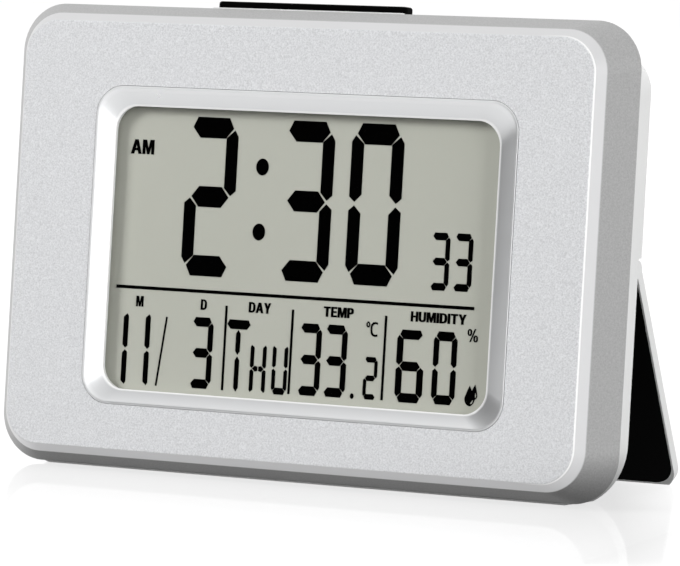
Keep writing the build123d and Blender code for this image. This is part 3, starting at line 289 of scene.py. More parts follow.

# %% [markdown]
# The bezel is a separate moulding with a hard, bright lacquer and no flake in it. Its slopes
# are painted darker low down, near the display, as painted shade for the recess. Two fine
# pale lines are painted highlights, one on the rounded edge at the slopes' foot and one on
# the outer rim. The rim's right and lower sides turn away from the light, so there the rim
# gets no painted line, and the slopes there are painted a little dimmer, as painted shade.
# Which side a point is on could be read from its normal, but that jumps at the corners.
# A mask on its place runs softly from corner to corner instead.

# %% Bright bezel lacquer: its zones
SLOPE_N = 8.1                    # mm in front of the seam: the foot of the bezel's slopes
# the bands of the two painted highlight lines: at the outer rim and at the slopes' foot
RIM_BAND = -0.2, 0.05            # mm from the face, between which the outer rim turns pale
FOOT_BAND = 0.22, 0.1            # mm from the foot, between which the inner edge turns pale
BEZEL_X, BEZEL_U = 1.1, -1.98    # mm from the seam's middle to the bezel's
BEZEL_HALF_WIDTH, BEZEL_HALF_HEIGHT = 50.8, 34.3
CORNER_BORDER = 0.15             # of the way from the bezel's middle to its side
# the way toward the bezel's painted lit side, up and to the left
LIT_WAY = case.to_3x3() @ (Vector((-1 / BEZEL_HALF_WIDTH, 0, 1 / BEZEL_HALF_HEIGHT)) / MM)
diagonal = (case @ (Vector((BEZEL_X, 0, BEZEL_U)) * MM)).dot(LIT_WAY)
material, tree = blank("bright_silver_lacquer")
place = add(tree, "TexCoord").outputs["Object"]
ahead = ahead_of_seam(tree, place)
on_slope = add(tree, "MapRange", {"Value": ahead, "From Min": SLOPE_N * MM,
                                  "From Max": FACE_N * MM})
towards = add(tree, "VectorMath", {0: place, 1: LIT_WAY}, operation="DOT_PRODUCT")
lit_side = add(tree, "MapRange", {"Value": towards.outputs["Value"],
                                  "From Min": diagonal - CORNER_BORDER,
                                  "From Max": diagonal + CORNER_BORDER})
outermost = add(tree, "MapRange", {"Value": ahead, "From Min": (FACE_N + RIM_BAND[0]) * MM,
                                   "From Max": (FACE_N + RIM_BAND[1]) * MM})
painted_rim_highlight = add(tree, "Math", {0: outermost.outputs["Result"], 1: lit_side.outputs["Result"]},
             operation="MULTIPLY")
painted_foot_highlight = add(tree, "MapRange", {"Value": ahead, "From Min": (SLOPE_N + FOOT_BAND[0]) * MM,
                                 "From Max": (SLOPE_N + FOOT_BAND[1]) * MM})
painted_highlight_lines = add(tree, "Math", {0: painted_rim_highlight.outputs["Value"], 1: painted_foot_highlight.outputs["Result"]},
              operation="MAXIMUM")
print("the slopes are", round(FACE_N - SLOPE_N, 2), "mm deep")

# %% [markdown]
# The bezel's mould was polished, so its slopes show soft bands of the room's light. They could
# be painted on, but a metallic finish mirrors them by itself, and rightly in every view. Only
# the faint waviness that sprayed lacquer keeps, some millimetres long, breaks them up.

# %% Bright bezel lacquer: its tones and shine
WAVE, WAVE_RELIEF = 6, 0.01      # mm
waves = add(tree, "TexNoise", {"Vector": place, "Scale": 1 / (WAVE * MM), "Detail": 1.0})
# painted shade: the slopes' tone darker toward the foot, in a lit and a shaded copy
painted_lit_tone = add(tree, "Mix", {0: on_slope.outputs["Result"], 6: linear("#d6d7d8"),
                             7: linear("#dfe0e1")}, data_type="RGBA")
painted_shaded_tone = add(tree, "Mix", {0: on_slope.outputs["Result"], 6: linear("#cccdce"),
                             7: linear("#e4e5e6")}, data_type="RGBA")
painted_slope_shade = add(tree, "Mix", {0: lit_side.outputs["Result"], 6: painted_shaded_tone.outputs[2],
                               7: painted_lit_tone.outputs[2]}, data_type="RGBA")
# painted highlights: pale lines on the rim's lit side and at the slopes' foot, with less metal
painted_rim_tone = add(tree, "Mix", {0: painted_rim_highlight.outputs["Value"], 6: painted_slope_shade.outputs[2],
                             7: linear("#eeeff0")}, data_type="RGBA")
tone = add(tree, "Mix", {0: painted_foot_highlight.outputs["Result"], 6: painted_rim_tone.outputs[2],
                         7: linear("#f4f4f4")}, data_type="RGBA")
metal = add(tree, "MapRange", {"Value": painted_highlight_lines.outputs["Value"], "To Min": 0.75,
                               "To Max": 0.35})
smooth = add(tree, "MapRange", {"Value": waves.outputs["Fac"], "To Min": 0.26, "To Max": 0.32})
gloss = add(tree, "Mix", {0: painted_highlight_lines.outputs["Value"], 2: smooth.outputs["Result"], 3: 0.4})
bump = add(tree, "Bump", {"Height": waves.outputs["Fac"], "Distance": WAVE_RELIEF * MM,
                          "Strength": 0.4})
shader = add(tree, "BsdfPrincipled", {
    "Base Color": tone.outputs[2], "Metallic": metal.outputs["Result"],
    "Roughness": gloss.outputs[0], "Normal": bump.outputs["Normal"], "IOR": 1.5,
    "Specular IOR Level": 0.3})
add(tree, "OutputMaterial", {"Surface": shader.outputs["BSDF"]})
bright_lacquer = material
print("bezel:", material.name)

# %% [markdown]
# The display's cover is a 1 mm sheet of clear acrylic. A pure glass shader would keep the
# lamps off what lies behind it, so rays that run to a lamp pass straight through instead.
# Bare acrylic, with an IOR of 1.49, would veil the display with a twelfth of the room. In the
# photograph the display shows deep black, as behind an anti-glare coat, and a sheet with
# that coat reflects as little as one with an IOR of about 1.07.

# %% Clear window
COATED_IOR = 1.07
HAZE = 12                        # mm: the width of the faint smears in its gloss
material, tree = blank("clear_acrylic_sheet")
place = add(tree, "TexCoord").outputs["Object"]
haze = add(tree, "TexNoise", {"Vector": place, "Scale": 1 / (HAZE * MM), "Detail": 2.0})
gloss = add(tree, "MapRange", {"Value": haze.outputs["Fac"], "To Min": 0.0, "To Max": 0.03})
pane = add(tree, "BsdfPrincipled", {
    "Base Color": linear("#ffffff"), "Roughness": gloss.outputs["Result"], "IOR": COATED_IOR,
    "Transmission Weight": 1.0})
through = add(tree, "BsdfTransparent", {"Color": linear("#f8f8f8")})
ray = add(tree, "LightPath")
to_lamp = add(tree, "Math", {0: ray.outputs["Is Shadow Ray"], 1: ray.outputs["Is Diffuse Ray"]},
              operation="MAXIMUM")
either = add(tree, "MixShader", {0: to_lamp.outputs["Value"], 1: pane.outputs["BSDF"],
                                 2: through.outputs["BSDF"]})
add(tree, "OutputMaterial", {"Surface": either.outputs["Shader"]})
clear_acrylic = material
print("window:", material.name)

# %% [markdown]
# Behind the window lies the liquid crystal cell: two thin glasses between polariser films.
# The films are why an unlit display is grey-green and matt, not clear. The dark segments
# are crystal that turns the light off, and the words between them are printed in black.
# Real polarisers would need wavelengths and angles that a path tracer doesn't follow. The
# eye sees only matt film and matt black, so the plastic's own function serves for both.

# %% Polariser film, crystal and ink
film = moulded("polariser_film", "#c3c4ba", "#bfc1b6", 0.6, grain=0.25, relief=0.002,
               cloud=30.0, shine=0.1)
crystal_ink = moulded("liquid_crystal_black", "#030303", "#010101", 0.6, grain=0.3,
                      relief=0.001, shine=0.0)
print("display:", film.name, crystal_ink.name)

# %% [markdown]
# The hinge pins, screws, springs and contacts are bright steel: drawn wire or pressed strip
# under a thin plating. Drawing and rolling leave fine lines along the metal. An anisotropic
# gloss could stand for them, but it needs a direction on every face. Noise that is stretched
# along the clock's width, which is how the pins and the contacts run, shows the lines. Real
# ones are finer, and are drawn coarser here so that they show.

# %% Plated steel
DRAWN_LINE, LINE_STRETCH = 0.15, 0.06       # mm across a line, and its width to its length
material, tree = blank("nickel_plated_steel")
place = add(tree, "TexCoord").outputs["Object"]
along = add(tree, "Mapping", {"Vector": place, "Scale": (LINE_STRETCH, 1.0, 1.0)})
lines = add(tree, "TexNoise", {"Vector": along.outputs["Vector"],
                               "Scale": 1 / (DRAWN_LINE * MM), "Detail": 2.0})
tone = add(tree, "Mix", {0: lines.outputs["Fac"], 6: linear("#cfccc6"), 7: linear("#bdbab4")},
           data_type="RGBA")
gloss = add(tree, "MapRange", {"Value": lines.outputs["Fac"], "To Min": 0.2, "To Max": 0.36})
bump = add(tree, "Bump", {"Height": lines.outputs["Fac"], "Distance": 0.004 * MM,
                          "Strength": 0.5})
shader = add(tree, "BsdfPrincipled", {
    "Base Color": tone.outputs[2], "Metallic": 1.0, "Roughness": gloss.outputs["Result"],
    "Normal": bump.outputs["Normal"]})
add(tree, "OutputMaterial", {"Surface": shader.outputs["BSDF"]})
plated_steel = material
print("metal:", material.name)

# %% [markdown]
# The circuit board is glass fibre in epoxy under a green solder mask. Copper tracks show
# through the mask as paler bands, a few to the centimetre, mostly along the board.
# Each track could be drawn, but inside the case nobody follows them. The borders of a
# stretched Voronoi pattern run and branch much as tracks do.

# %% Circuit board
TRACK_PITCH, TRACK_STRETCH = 3, 0.25        # mm from track to track, and width to length
COPPER_HEIGHT = 0.03                        # mm
material, tree = blank("solder_masked_board")
place = add(tree, "TexCoord").outputs["Object"]
runs = add(tree, "Mapping", {"Vector": place, "Scale": (TRACK_STRETCH, 1.0, 1.0)})
tracks = add(tree, "TexVoronoi", {"Vector": runs.outputs["Vector"],
                                  "Scale": 1 / (TRACK_PITCH * MM)},
             distance="MANHATTAN", feature="DISTANCE_TO_EDGE")
no_track = add(tree, "MapRange", {"Value": tracks.outputs["Distance"], "From Min": 0.03,
                                  "From Max": 0.06})
tone = add(tree, "Mix", {0: no_track.outputs["Result"], 6: linear("#2f7d4b"),
                         7: linear("#1c5a35")}, data_type="RGBA")
bump = add(tree, "Bump", {"Height": no_track.outputs["Result"], "Distance": COPPER_HEIGHT * MM,
                          "Strength": 0.4}, invert=True)
shader = add(tree, "BsdfPrincipled", {"Base Color": tone.outputs[2], "Roughness": 0.35,
                                      "Normal": bump.outputs["Normal"], "IOR": 1.5})
add(tree, "OutputMaterial", {"Surface": shader.outputs["BSDF"]})
solder_mask = material
print("board:", material.name)

# %% [markdown]
# The strip that joins the glass to the board is silicone rubber in thin slices, one slice in
# two filled with carbon, so it looks striped across its length. The slices could be separate
# pieces, but a wave texture is just such a row of stripes. Real ones are about a tenth of a
# millimetre, and are drawn coarser so that they show.

# %% Striped rubber
SLICE = 1.0                      # mm
material, tree = blank("striped_silicone_rubber")
place = add(tree, "TexCoord").outputs["Object"]
slices = add(tree, "TexWave", {"Vector": place, "Scale": 1 / (2 * math.pi * SLICE * MM),
                               "Distortion": 0.0}, bands_direction="X")
tone = add(tree, "Mix", {0: slices.outputs["Fac"], 6: linear("#c98f8f"),
                         7: linear("#262424")}, data_type="RGBA")
shader = add(tree, "BsdfPrincipled", {"Base Color": tone.outputs[2], "Roughness": 0.7,
                                      "IOR": 1.41})
add(tree, "OutputMaterial", {"Surface": shader.outputs["BSDF"]})
silicone_strip = material
print("rubber:", material.name)

# %% [markdown]
# Each cell has a jacket of shrunk film, dark with a pale band round either end, and beyond
# the jacket a rim of its plated can. The bands could be rings of their own, but they are as
# thin as ink. A colour ramp along the cells, which lie across the clock, prints them, and a
# faint noise gives the film the creases that it keeps from shrinking.

# %% Cell jackets
CREASE, CREASE_DEPTH = 4, 0.02   # mm
material, tree = blank("shrunk_film_jacket")
place = add(tree, "TexCoord").outputs["Object"]
across = add(tree, "SeparateXYZ", {"Vector": place})
low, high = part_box("battery_cells")
share = add(tree, "MapRange", {"Value": across.outputs["X"], "From Min": low.x,
                               "From Max": high.x})
bands = add(tree, "ValToRGB", {"Fac": share.outputs["Result"]})
bands.color_ramp.interpolation = "CONSTANT"
bands.color_ramp.elements[0].color = linear("#b9b6af")
bands.color_ramp.elements[1].position = 0.03
bands.color_ramp.elements[1].color = linear("#b4bac2")
for position, code in ((0.24, "#3b424d"), (0.76, "#b4bac2"), (0.97, "#b9b6af")):
    bands.color_ramp.elements.new(position).color = linear(code)
creases = add(tree, "TexNoise", {"Vector": place, "Scale": 1 / (CREASE * MM), "Detail": 2.0})
bump = add(tree, "Bump", {"Height": creases.outputs["Fac"], "Distance": CREASE_DEPTH * MM,
                          "Strength": 0.3})
shader = add(tree, "BsdfPrincipled", {"Base Color": bands.outputs["Color"], "Metallic": 0.4,
                                      "Roughness": 0.3, "Normal": bump.outputs["Normal"]})
add(tree, "OutputMaterial", {"Surface": shader.outputs["BSDF"]})
film_jacket = material
print("jackets:", material.name, "over", round((high.x - low.x) / MM, 1), "mm")

# %% [markdown]
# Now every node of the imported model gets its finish. A rule by the nodes' names could guess
# it, but a plain list can be read like a parts list. It names each finish once, and the check
# at the end makes sure that no node was forgotten.

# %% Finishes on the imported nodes
finishes = {
    silver_lacquer: ["front_housing"],
    bright_lacquer: ["display_bezel"],
    clear_acrylic: ["display_window"],
    film: ["lcd_front_glass", "lcd_rear_glass"],
    crystal_ink: ["lcd_segments"],
    guide_acrylic: ["light_guide"],
    black_abs: ["lcd_frame", "snooze_bar", "stand_lining"],
    white_abs: ["rear_shell", "stand", "battery_door", "key_mode", "key_alarm", "key_up",
                "key_unit", "key_down"],
    silicone_strip: ["connector_strip"],
    led_resin: ["backlight_leds"],
    solder_mask: ["main_board"],
    chip_resin: ["controller_chip", "buzzer", "thermistor"],
    sensor_abs: ["humidity_sensor"],
    switch_abs: ["key_switches", "snooze_switch"],
    plated_steel: ["watch_crystal", "case_screws", "board_screws", "minus_terminal",
                   "plus_terminal", "link_contact", "hinge_pins"],
    film_jacket: ["battery_cells"],
}
dressed = set()
for finish, names in finishes.items():
    for name in names:
        for slot in nodes[name].material_slots:
            slot.material = finish
        dressed.add(name)
assert dressed == set(nodes), set(nodes) ^ dressed
print("dressed nodes:", len(dressed))

# %% [markdown]
# The words on the display are printed on the film in a narrow bold face. Blender's own font
# has one thin weight, and thickening it closes its M, so the few letters are cut like a
# sign-maker's, from straight-edged outlines. Each letter has its outline and then its holes,
# as corners in shares of its height. The small o is the degree sign.

# %% The letters' outlines
shapes = {
    "A": [[(0, 0), (.22, 0), (.28, .23), (.5, .23), (.56, 0), (.78, 0), (.51, 1), (.27, 1)],
          [(.325, .39), (.455, .39), (.39, .74)]],
    "M": [[(0, 0), (.19, 0), (.19, .66), (.34, 0), (.5, 0), (.65, .66), (.65, 0), (.84, 0),
           (.84, 1), (.56, 1), (.42, .36), (.28, 1), (0, 1)]],
    "D": [[(0, 0), (.34, 0), (.54, .07), (.66, .27), (.66, .73), (.54, .93), (.34, 1), (0, 1)],
          [(.21, .16), (.33, .16), (.42, .22), (.45, .33), (.45, .67), (.42, .78), (.33, .84),
           (.21, .84)]],
    "Y": [[(.25, 0), (.46, 0), (.46, .4), (.71, 1), (.48, 1), (.355, .62), (.23, 1), (0, 1),
           (.25, .4)]],
    "T": [[(.21, 0), (.42, 0), (.42, .83), (.63, .83), (.63, 1), (0, 1), (0, .83), (.21, .83)]],
    "E": [[(0, 0), (.56, 0), (.56, .17), (.21, .17), (.21, .43), (.51, .43), (.51, .59),
           (.21, .59), (.21, .83), (.55, .83), (.55, 1), (0, 1)]],
    "P": [[(0, 0), (.21, 0), (.21, .38), (.38, .38), (.54, .45), (.6, .6), (.6, .78),
           (.54, .93), (.38, 1), (0, 1)],
          [(.21, .54), (.34, .54), (.39, .61), (.39, .77), (.34, .84), (.21, .84)]],
    "H": [[(0, 0), (.2, 0), (.2, .42), (.46, .42), (.46, 0), (.66, 0), (.66, 1), (.46, 1),
           (.46, .59), (.2, .59), (.2, 1), (0, 1)]],
    "U": [[(0, 1), (0, .28), (.06, .09), (.2, 0), (.45, 0), (.59, .09), (.65, .28), (.65, 1),
           (.45, 1), (.45, .3), (.41, .2), (.325, .17), (.24, .2), (.2, .3), (.2, 1)]],
    "I": [[(0, 0), (.21, 0), (.21, 1), (0, 1)]],
    "C": [[(.62, .16), (.62, .03), (.42, 0), (.18, .05), (.04, .2), (0, .4), (0, .62),
           (.05, .82), (.19, .96), (.42, 1), (.62, .96), (.62, .84), (.43, .88), (.26, .84),
           (.16, .74), (.13, .6), (.13, .4), (.17, .26), (.27, .16), (.43, .12)]],
    "o": [[(.1, .62), (.22, .62), (.32, .72), (.32, .88), (.22, 1), (.1, 1), (0, .88), (0, .72)],
          [(.12, .71), (.2, .71), (.24, .76), (.24, .85), (.2, .91), (.12, .91), (.08, .85),
           (.08, .76)]],
    "%": [[(.12, .48), (.26, .48), (.36, .6), (.36, .86), (.26, .98), (.12, .98), (.02, .86),
           (.02, .6)],
          [(.15, .57), (.22, .57), (.25, .64), (.25, .82), (.22, .89), (.15, .89), (.12, .82),
           (.12, .64)],
          [(.62, .01), (.76, .01), (.86, .13), (.86, .39), (.76, .51), (.62, .51), (.52, .39),
           (.52, .13)],
          [(.65, .1), (.72, .1), (.75, .17), (.75, .35), (.72, .42), (.65, .42), (.62, .35),
           (.62, .17)],
          [(.2, 0), (.29, 0), (.68, 1), (.59, 1)]],
}
print("letters:", "".join(shapes))

# %% [markdown]
# An outline with holes could be cut from a plate with booleans. A flat curve does it by
# itself: it fills what its lines enclose and leaves the lines inside another one open.
# It only has to have some thickness, and an offset makes its strokes a little bolder, as ink
# runs. A text or a curve is made a mesh before it is placed, so that its place is in the mesh.


# %% From outlines to a flat mesh
ANY_THICKNESS, BOLDER = 0.05, 0.012     # shares of a letter's height


def flat_curve(name):
    """An empty flat curve that will fill what its lines enclose, a little thick."""
    curve = bpy.data.curves.new(name, "CURVE")
    curve.dimensions, curve.fill_mode, curve.extrude = "2D", "BOTH", ANY_THICKNESS
    return curve


def cut_out(name, outlines):
    """A flat filled curve from closed outlines, of which those inside another one are holes."""
    curve = flat_curve(name)
    curve.offset = BOLDER
    for outline in outlines:
        line = curve.splines.new("POLY")
        line.points.add(len(outline) - 1)
        line.use_cyclic_u = True
        for point, (x, y) in zip(line.points, outline):
            point.co = (x, y, 0, 1)
    return curve


def flat_mesh(curve):
    """The mesh of a flat curve, with its own object removed again."""
    holder = bpy.data.objects.new("holder", curve)
    bpy.context.scene.collection.objects.link(holder)
    bpy.context.view_layer.update()
    graph = bpy.context.evaluated_depsgraph_get()
    mesh = bpy.data.meshes.new_from_object(holder.evaluated_get(graph))
    bpy.data.objects.remove(holder)
    return mesh


print("a stroke grows by", BOLDER, "of a letter's height on each side")

# %% [markdown]
# The ink could be a picture on the film, but it would blur close up and need its own
# unwrapping. As thin plates it stays sharp, and it stands on the film as print does. Each
# flat mesh is fitted to its width, its height and the ink's thickness, and one matrix then
# turns it from the flat curve's plane into the display's.


# %% Ink on the film
WINDOW_X, WINDOW_U, FILM_N = 0.85, -2.46, 5.9       # mm: the window's middle, the film's face
INK = 0.08                                          # mm


def lay_on_film(ink, mesh, x, u, width, height):
    """Adds a flat mesh to the ink, fitted to a size about a place, in mm from the window's."""
    points = [v.co for v in mesh.vertices]
    low = Vector(min(p[i] for p in points) for i in range(3))
    high = Vector(max(p[i] for p in points) for i in range(3))
    middle, size = (low + high) / 2, high - low
    to_case = Matrix(((1, 0, 0, WINDOW_X + x), (0, 0, -1, -FILM_N - INK / 2),
                      (0, 1, 0, WINDOW_U + u), (0, 0, 0, 1)))
    fit = Matrix.Diagonal((width / size.x, height / size.y, INK / size.z, 1))
    mesh.transform(case @ Matrix.Scale(MM, 4) @ to_case @ fit @ Matrix.Translation(-middle))
    ink.from_mesh(mesh)
    bpy.data.meshes.remove(mesh)


print("the film's face is", round(FACE_N - FILM_N, 2), "mm behind the clock's face")

# %% [markdown]
# The words name the fields of the display: the date's month and day, the day of the week, the
# temperature and the humidity, with their signs. One run of text for each row would space
# them by its own rules. Set one by one, each lies where the photograph has it. Its place is
# its middle, in millimetres from the window's middle, and was measured, as its size was.

# %% Words on the display
LETTER_SPACE = 0.08              # of a letter's height
# each word with its place across and up the case, and its width and height
words = [
    ("AM", -40.61, 21.9, 5.79, 3.13), ("M", -39.13, -11.43, 1.83, 2.28),
    ("D", -23.23, -11.28, 1.5, 2.26), ("DAY", -9.47, -11.2, 5.39, 2.25),
    ("TEMP", 9.57, -11.07, 7.17, 2.19), ("HUMIDITY", 33.24, -10.9, 13.06, 2.14),
    ("oC", 17.71, -14.15, 2.7, 3.16), ("%", 41.43, -14.09, 2.45, 2.8),
]
ink = bmesh.new()
for word, x, u, width, height in words:
    outlines, start = [], 0
    for letter in word:
        outlines += [[(start + a, b) for a, b in outline] for outline in shapes[letter]]
        start += max(a for a, b in shapes[letter][0]) + LETTER_SPACE
    lay_on_film(ink, flat_mesh(cut_out(word, outlines)), x, u, width, height)
bmesh.ops.remove_doubles(ink, verts=ink.verts, dist=0.001 * MM)
print("words:", len(words), "faces:", len(ink.faces))

# %% [markdown]
# Beside the humidity stands the usual sign for it: a big drop with a small one at its back,
# each with a bare patch that reads as a highlight. Straight corners would show at its curves,
# so it is drawn with Bezier lines. Both drops are one closed line, sharp at the tips and
# rounded elsewhere, and the two lines inside it are cut out of it.

# %% The two drops
drops = flat_curve("drops")
drops.resolution_u = 8
DROPS_X, DROPS_U, DROPS_WIDTH, DROPS_HEIGHT = 41.78, -26.5, 2.92, 4.6       # mm
# each closed line: points in shares of the sign's box, and whether the line is sharp there
outlines = [
    [(0.36, 0.93, True), (0.55, 0.70, True), (0.79, 1.0, True), (0.96, 0.60, False),
     (0.97, 0.42, False), (0.80, 0.29, False), (0.68, 0.12, False), (0.36, 0.0, False),
     (0.0, 0.28, False), (0.13, 0.58, False)],
    [(0.44, 0.10, True), (0.60, 0.13, False), (0.70, 0.31, True), (0.56, 0.24, False)],
    [(0.82, 0.64, True), (0.91, 0.50, False), (0.83, 0.36, True), (0.80, 0.48, False)],
]
for outline in outlines:
    line = drops.splines.new("BEZIER")
    line.bezier_points.add(len(outline) - 1)
    line.use_cyclic_u = True
    for point, (x, y, sharp) in zip(line.bezier_points, outline):
        point.co = (x, y, 0)
        point.handle_left_type = point.handle_right_type = "VECTOR" if sharp else "AUTO"
lay_on_film(ink, flat_mesh(drops), DROPS_X, DROPS_U, DROPS_WIDTH, DROPS_HEIGHT)
print("ink with the drops:", len(ink.faces), "faces")

# %% [markdown]
# All the print is one thin layer on one film, so it becomes one piece. It rides with the
# case, which carries the display, and its slot says that it is ink.

# %% One piece of print
words_mesh = bpy.data.meshes.new("display_words")
bmesh.ops.recalc_face_normals(ink, faces=ink.faces)
ink.to_mesh(words_mesh)
ink.free()
display_words = bpy.data.objects.new("display_words", words_mesh)
bpy.context.scene.collection.objects.link(display_words)
words_mesh.materials.append(crystal_ink)
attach(display_words, "case")
print("display words:", len(words_mesh.polygons), "faces")

# %% [markdown]
# The clock stands on a white table in front of a white wall, and both are so bright that only
# a faint mirror image of its lower edge and a light shadow show where the table is.
# Enough light to whiten a real table would bleach the clock as well. So only the rays that
# the camera, gloss or glass sends find the table and the room white, and for all others they
# are dimmer. The helper tells the two kinds of rays apart.


# %% What the eye sees as white
def seen_rays(tree):
    """The output that is 1 for rays from the camera, gloss or glass, and 0 for all others."""
    ray = add(tree, "LightPath")
    seen = add(tree, "Math", {0: ray.outputs["Is Camera Ray"], 1: ray.outputs["Is Glossy Ray"]},
               operation="MAXIMUM")
    return add(tree, "Math", {0: seen.outputs["Value"], 1: ray.outputs["Is Transmission Ray"]},
               operation="MAXIMUM").outputs["Value"]


print("eye rays: camera, glossy and transmission")

# %% [markdown]
# The table is one flat sheet. It could be as small as a real one, but then its edges would
# show in some views, so it is far larger than any of them. It lies a hair under the feet,
# because two faces in one plane would flicker.

# %% Floor
FLOOR_HALF = 6.0                 # m, from its middle to its sides
FLOOR_DROP = 0.05                # mm under the feet, so that the two planes never coincide
floor_mesh = bpy.data.meshes.new("floor")
sheet = bmesh.new()
bmesh.ops.create_grid(sheet, x_segments=1, y_segments=1, size=FLOOR_HALF)
bmesh.ops.translate(sheet, verts=sheet.verts, vec=(0, 0, -FLOOR_DROP * MM))
sheet.to_mesh(floor_mesh)
sheet.free()
floor = bpy.data.objects.new("floor", floor_mesh)
bpy.context.scene.collection.objects.link(floor)
print("floor:", floor.name)

# %% [markdown]
# The white that the eye sees is partly a glow of its own and partly lit by the lamps, so that
# the clock's shadow stays on it. A share of it is a slightly rough mirror. In the photograph
# the mirror image fades toward the camera and beside the stand, so that share does. Both
# fades lie fixed on the table, and stay where they are in other views.

# %% White table top
FRONT_Y, FEET_Y = -110, 0        # mm: the share grows from the first to the second
FRONT_SHARE, FEET_SHARE = 0.05, 0.25
ACROSS = math.cos(AZIMUTH), math.sin(AZIMUTH), 0
BESIDE = 64, 78                  # mm along ACROSS, between which the stand's side fades
BESIDE_SHARE = 0.3
material, tree = blank("white_table_top")
lit = add(tree, "BsdfDiffuse", {"Color": linear("#707070")})
glow = add(tree, "Emission", {"Color": linear("#ffffff"), "Strength": 0.95})
white = add(tree, "AddShader", {0: lit.outputs["BSDF"], 1: glow.outputs["Emission"]})
mirror = add(tree, "BsdfAnisotropic", {"Color": linear("#ffffff"), "Roughness": 0.06})
point = add(tree, "TexCoord").outputs["Object"]
place = add(tree, "SeparateXYZ", {"Vector": point})
near = add(tree, "MapRange", {"Value": place.outputs["Y"], "From Min": FRONT_Y * MM,
                              "From Max": FEET_Y * MM, "To Min": FRONT_SHARE,
                              "To Max": FEET_SHARE})
aside = add(tree, "VectorMath", {0: point, 1: ACROSS}, operation="DOT_PRODUCT")
by_stand = add(tree, "MapRange", {"Value": aside.outputs["Value"], "From Min": BESIDE[0] * MM,
                                  "From Max": BESIDE[1] * MM, "To Min": 1.0,
                                  "To Max": BESIDE_SHARE})
shine = add(tree, "Math", {0: near.outputs["Result"], 1: by_stand.outputs["Result"]},
            operation="MULTIPLY")
surface = add(tree, "MixShader", {0: shine.outputs["Value"], 1: white.outputs["Shader"],
                                  2: mirror.outputs["BSDF"]})
plain = add(tree, "BsdfDiffuse", {"Color": linear("#3c3c3c")})
either = add(tree, "MixShader", {0: seen_rays(tree), 1: plain.outputs["BSDF"],
                                 2: surface.outputs["Shader"]})
add(tree, "OutputMaterial", {"Surface": either.outputs["Shader"]})
floor_mesh.materials.append(material)
print("table top:", material.name)

# %% [markdown]
# Round a packshot stands white paper, and the eye sees it in every glossy surface. One corner
# of the studio, in front on the left, is unlit. It is what darkens the bezel's right slope.
# As light on the clock the room is soft, and weaker from above than from the sides, since the
# case's top is dimmer in the photograph than its side. A picture of a real studio could light
# it too, but two plain gradients do the same and can be tuned.

# %% Room light
UNLIT_WAY = (-0.74, -0.66, 0.12)            # toward the dim corner of the studio
UNLIT_EDGE, UNLIT_CORE = 0.7, 0.93          # cosines: where its dimness starts and is full
UNLIT_LEVEL = 0.06
LOW, OVERHEAD = 0.1, 0.8                    # heights on a sphere of 1
LOW_LEVEL, OVERHEAD_LEVEL = 0.48, 0.27
world = bpy.data.worlds.new("studio")
world.use_nodes = True
tree = world.node_tree
tree.nodes.clear()
toward = add(tree, "TexCoord").outputs["Generated"]
height = add(tree, "SeparateXYZ", {"Vector": toward}).outputs["Z"]
strength = add(tree, "MapRange", {"Value": height, "From Min": LOW, "From Max": OVERHEAD,
                                  "To Min": LOW_LEVEL, "To Max": OVERHEAD_LEVEL})
room = add(tree, "Background", {"Color": linear("#ffffff"),
                                "Strength": strength.outputs["Result"]})
unlit = add(tree, "VectorMath", {0: toward, 1: UNLIT_WAY}, operation="DOT_PRODUCT")
level = add(tree, "MapRange", {"Value": unlit.outputs["Value"], "From Min": UNLIT_EDGE,
                               "From Max": UNLIT_CORE, "To Min": 1.0, "To Max": UNLIT_LEVEL})
paper = add(tree, "Background", {"Color": linear("#ffffff"),
                                 "Strength": level.outputs["Result"]})
either = add(tree, "MixShader", {0: seen_rays(tree), 1: room.outputs["Background"],
                                 2: paper.outputs["Background"]})
add(tree, "OutputWorld", {"Surface": either.outputs["Shader"]})
bpy.context.scene.world = world
print("world:", world.name)

# %% [markdown]
# Four softboxes stand 1.3 m from the clock. The key lamp is high on the left and draws the
# shadow just inside the display's frame. The side lamp, low on the right, lights the case's
# side. A narrow strip near the camera lies on the bezel's left slope as a highlight, and the
# last one lights the white back, which the photograph doesn't show. Mirrored in the lacquer,
# the big ones would be spots of glare that the photograph doesn't have, so gloss shows only
# the strip. Together they light the face at about the level at which a colour renders as
# written. An area lamp of P watts adds P / (pi d)^2 to a white surface at d metres.


# %% Lamps
LAMP_DISTANCE = 1.3              # m


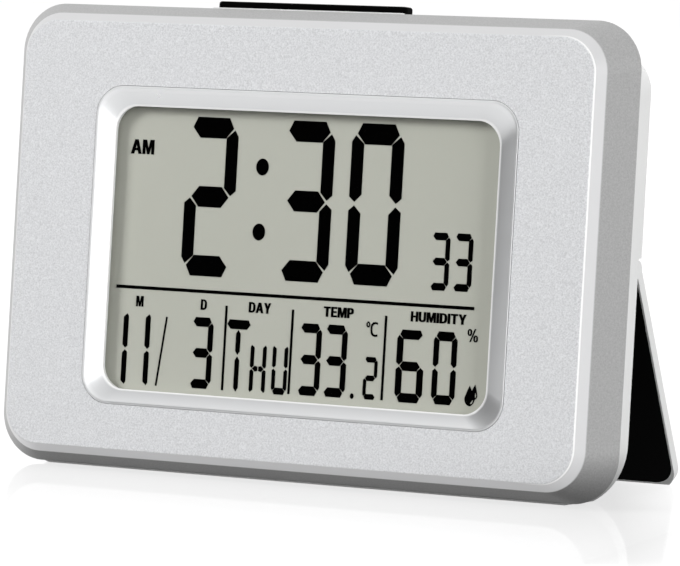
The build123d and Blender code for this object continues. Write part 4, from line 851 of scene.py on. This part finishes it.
def soft_lamp(name, azimuth, elevation, width, height, level, in_gloss=False):
    """A softbox aimed at the clock, from degrees to the right of its front and above it.

    Its level is what it adds to a white surface that faces it, as a share of full white.
    """
    a, e = math.radians(azimuth), math.radians(elevation)
    away = Vector((math.sin(a) * math.cos(e), -math.cos(a) * math.cos(e), math.sin(e)))
    lamp = bpy.data.lights.new(name, "AREA")
    lamp.shape, lamp.size, lamp.size_y = "RECTANGLE", width, height
    lamp.energy = level * math.pi ** 2 * LAMP_DISTANCE ** 2
    holder = bpy.data.objects.new(name, lamp)
    holder.visible_glossy = in_gloss
    bpy.context.scene.collection.objects.link(holder)
    holder.matrix_world = (Matrix.Translation(SEAM + away * LAMP_DISTANCE)
                           @ away.to_track_quat("Z", "Y").to_matrix().to_4x4())
    print(name, "at", tuple(round(v, 2) for v in holder.matrix_world.translation))


soft_lamp("key_lamp", -52, 28, 0.5, 0.5, 0.77)
soft_lamp("side_lamp", 74, 14, 0.6, 0.6, 0.72)
soft_lamp("strip_lamp", 8, 8, 0.2, 0.5, 0.1, in_gloss=True)
soft_lamp("back_lamp", 180, 26, 0.8, 0.6, 0.52)

# %% [markdown]
# The photograph's case goes dark round its lower right corner. Paint could darken it, but it
# would stay dark under any other light. A photographer uses a flag, a small black card that
# keeps the side lamp off one place. This one stands on the table 2 cm to the right of the
# corner, and neither the camera nor gloss nor glass shows it.

# %% Black card
CARD_X, CARD_DEPTH, CARD_HEIGHT = 95, 65, 13        # mm
card_mesh = bpy.data.meshes.new("black_card")
sheet = bmesh.new()
bmesh.ops.create_grid(sheet, x_segments=1, y_segments=1, size=0.5)
bmesh.ops.transform(sheet, verts=sheet.verts, matrix=Matrix.Diagonal(
    (CARD_HEIGHT * MM, CARD_DEPTH * MM, 1, 1)))
bmesh.ops.rotate(sheet, verts=sheet.verts, matrix=Matrix.Rotation(math.radians(90), 3, "Y"))
bmesh.ops.translate(sheet, verts=sheet.verts, vec=(CARD_X * MM, -CARD_DEPTH / 2 * MM,
                                                   CARD_HEIGHT / 2 * MM))
sheet.to_mesh(card_mesh)
sheet.free()
card = bpy.data.objects.new("black_card", card_mesh)
bpy.context.scene.collection.objects.link(card)
card_mesh.materials.append(moulded("black_flocked_card", "#060606", "#020202", 0.9, shine=0.0))
card.visible_camera = card.visible_glossy = card.visible_transmission = False
print("card:", card.name)
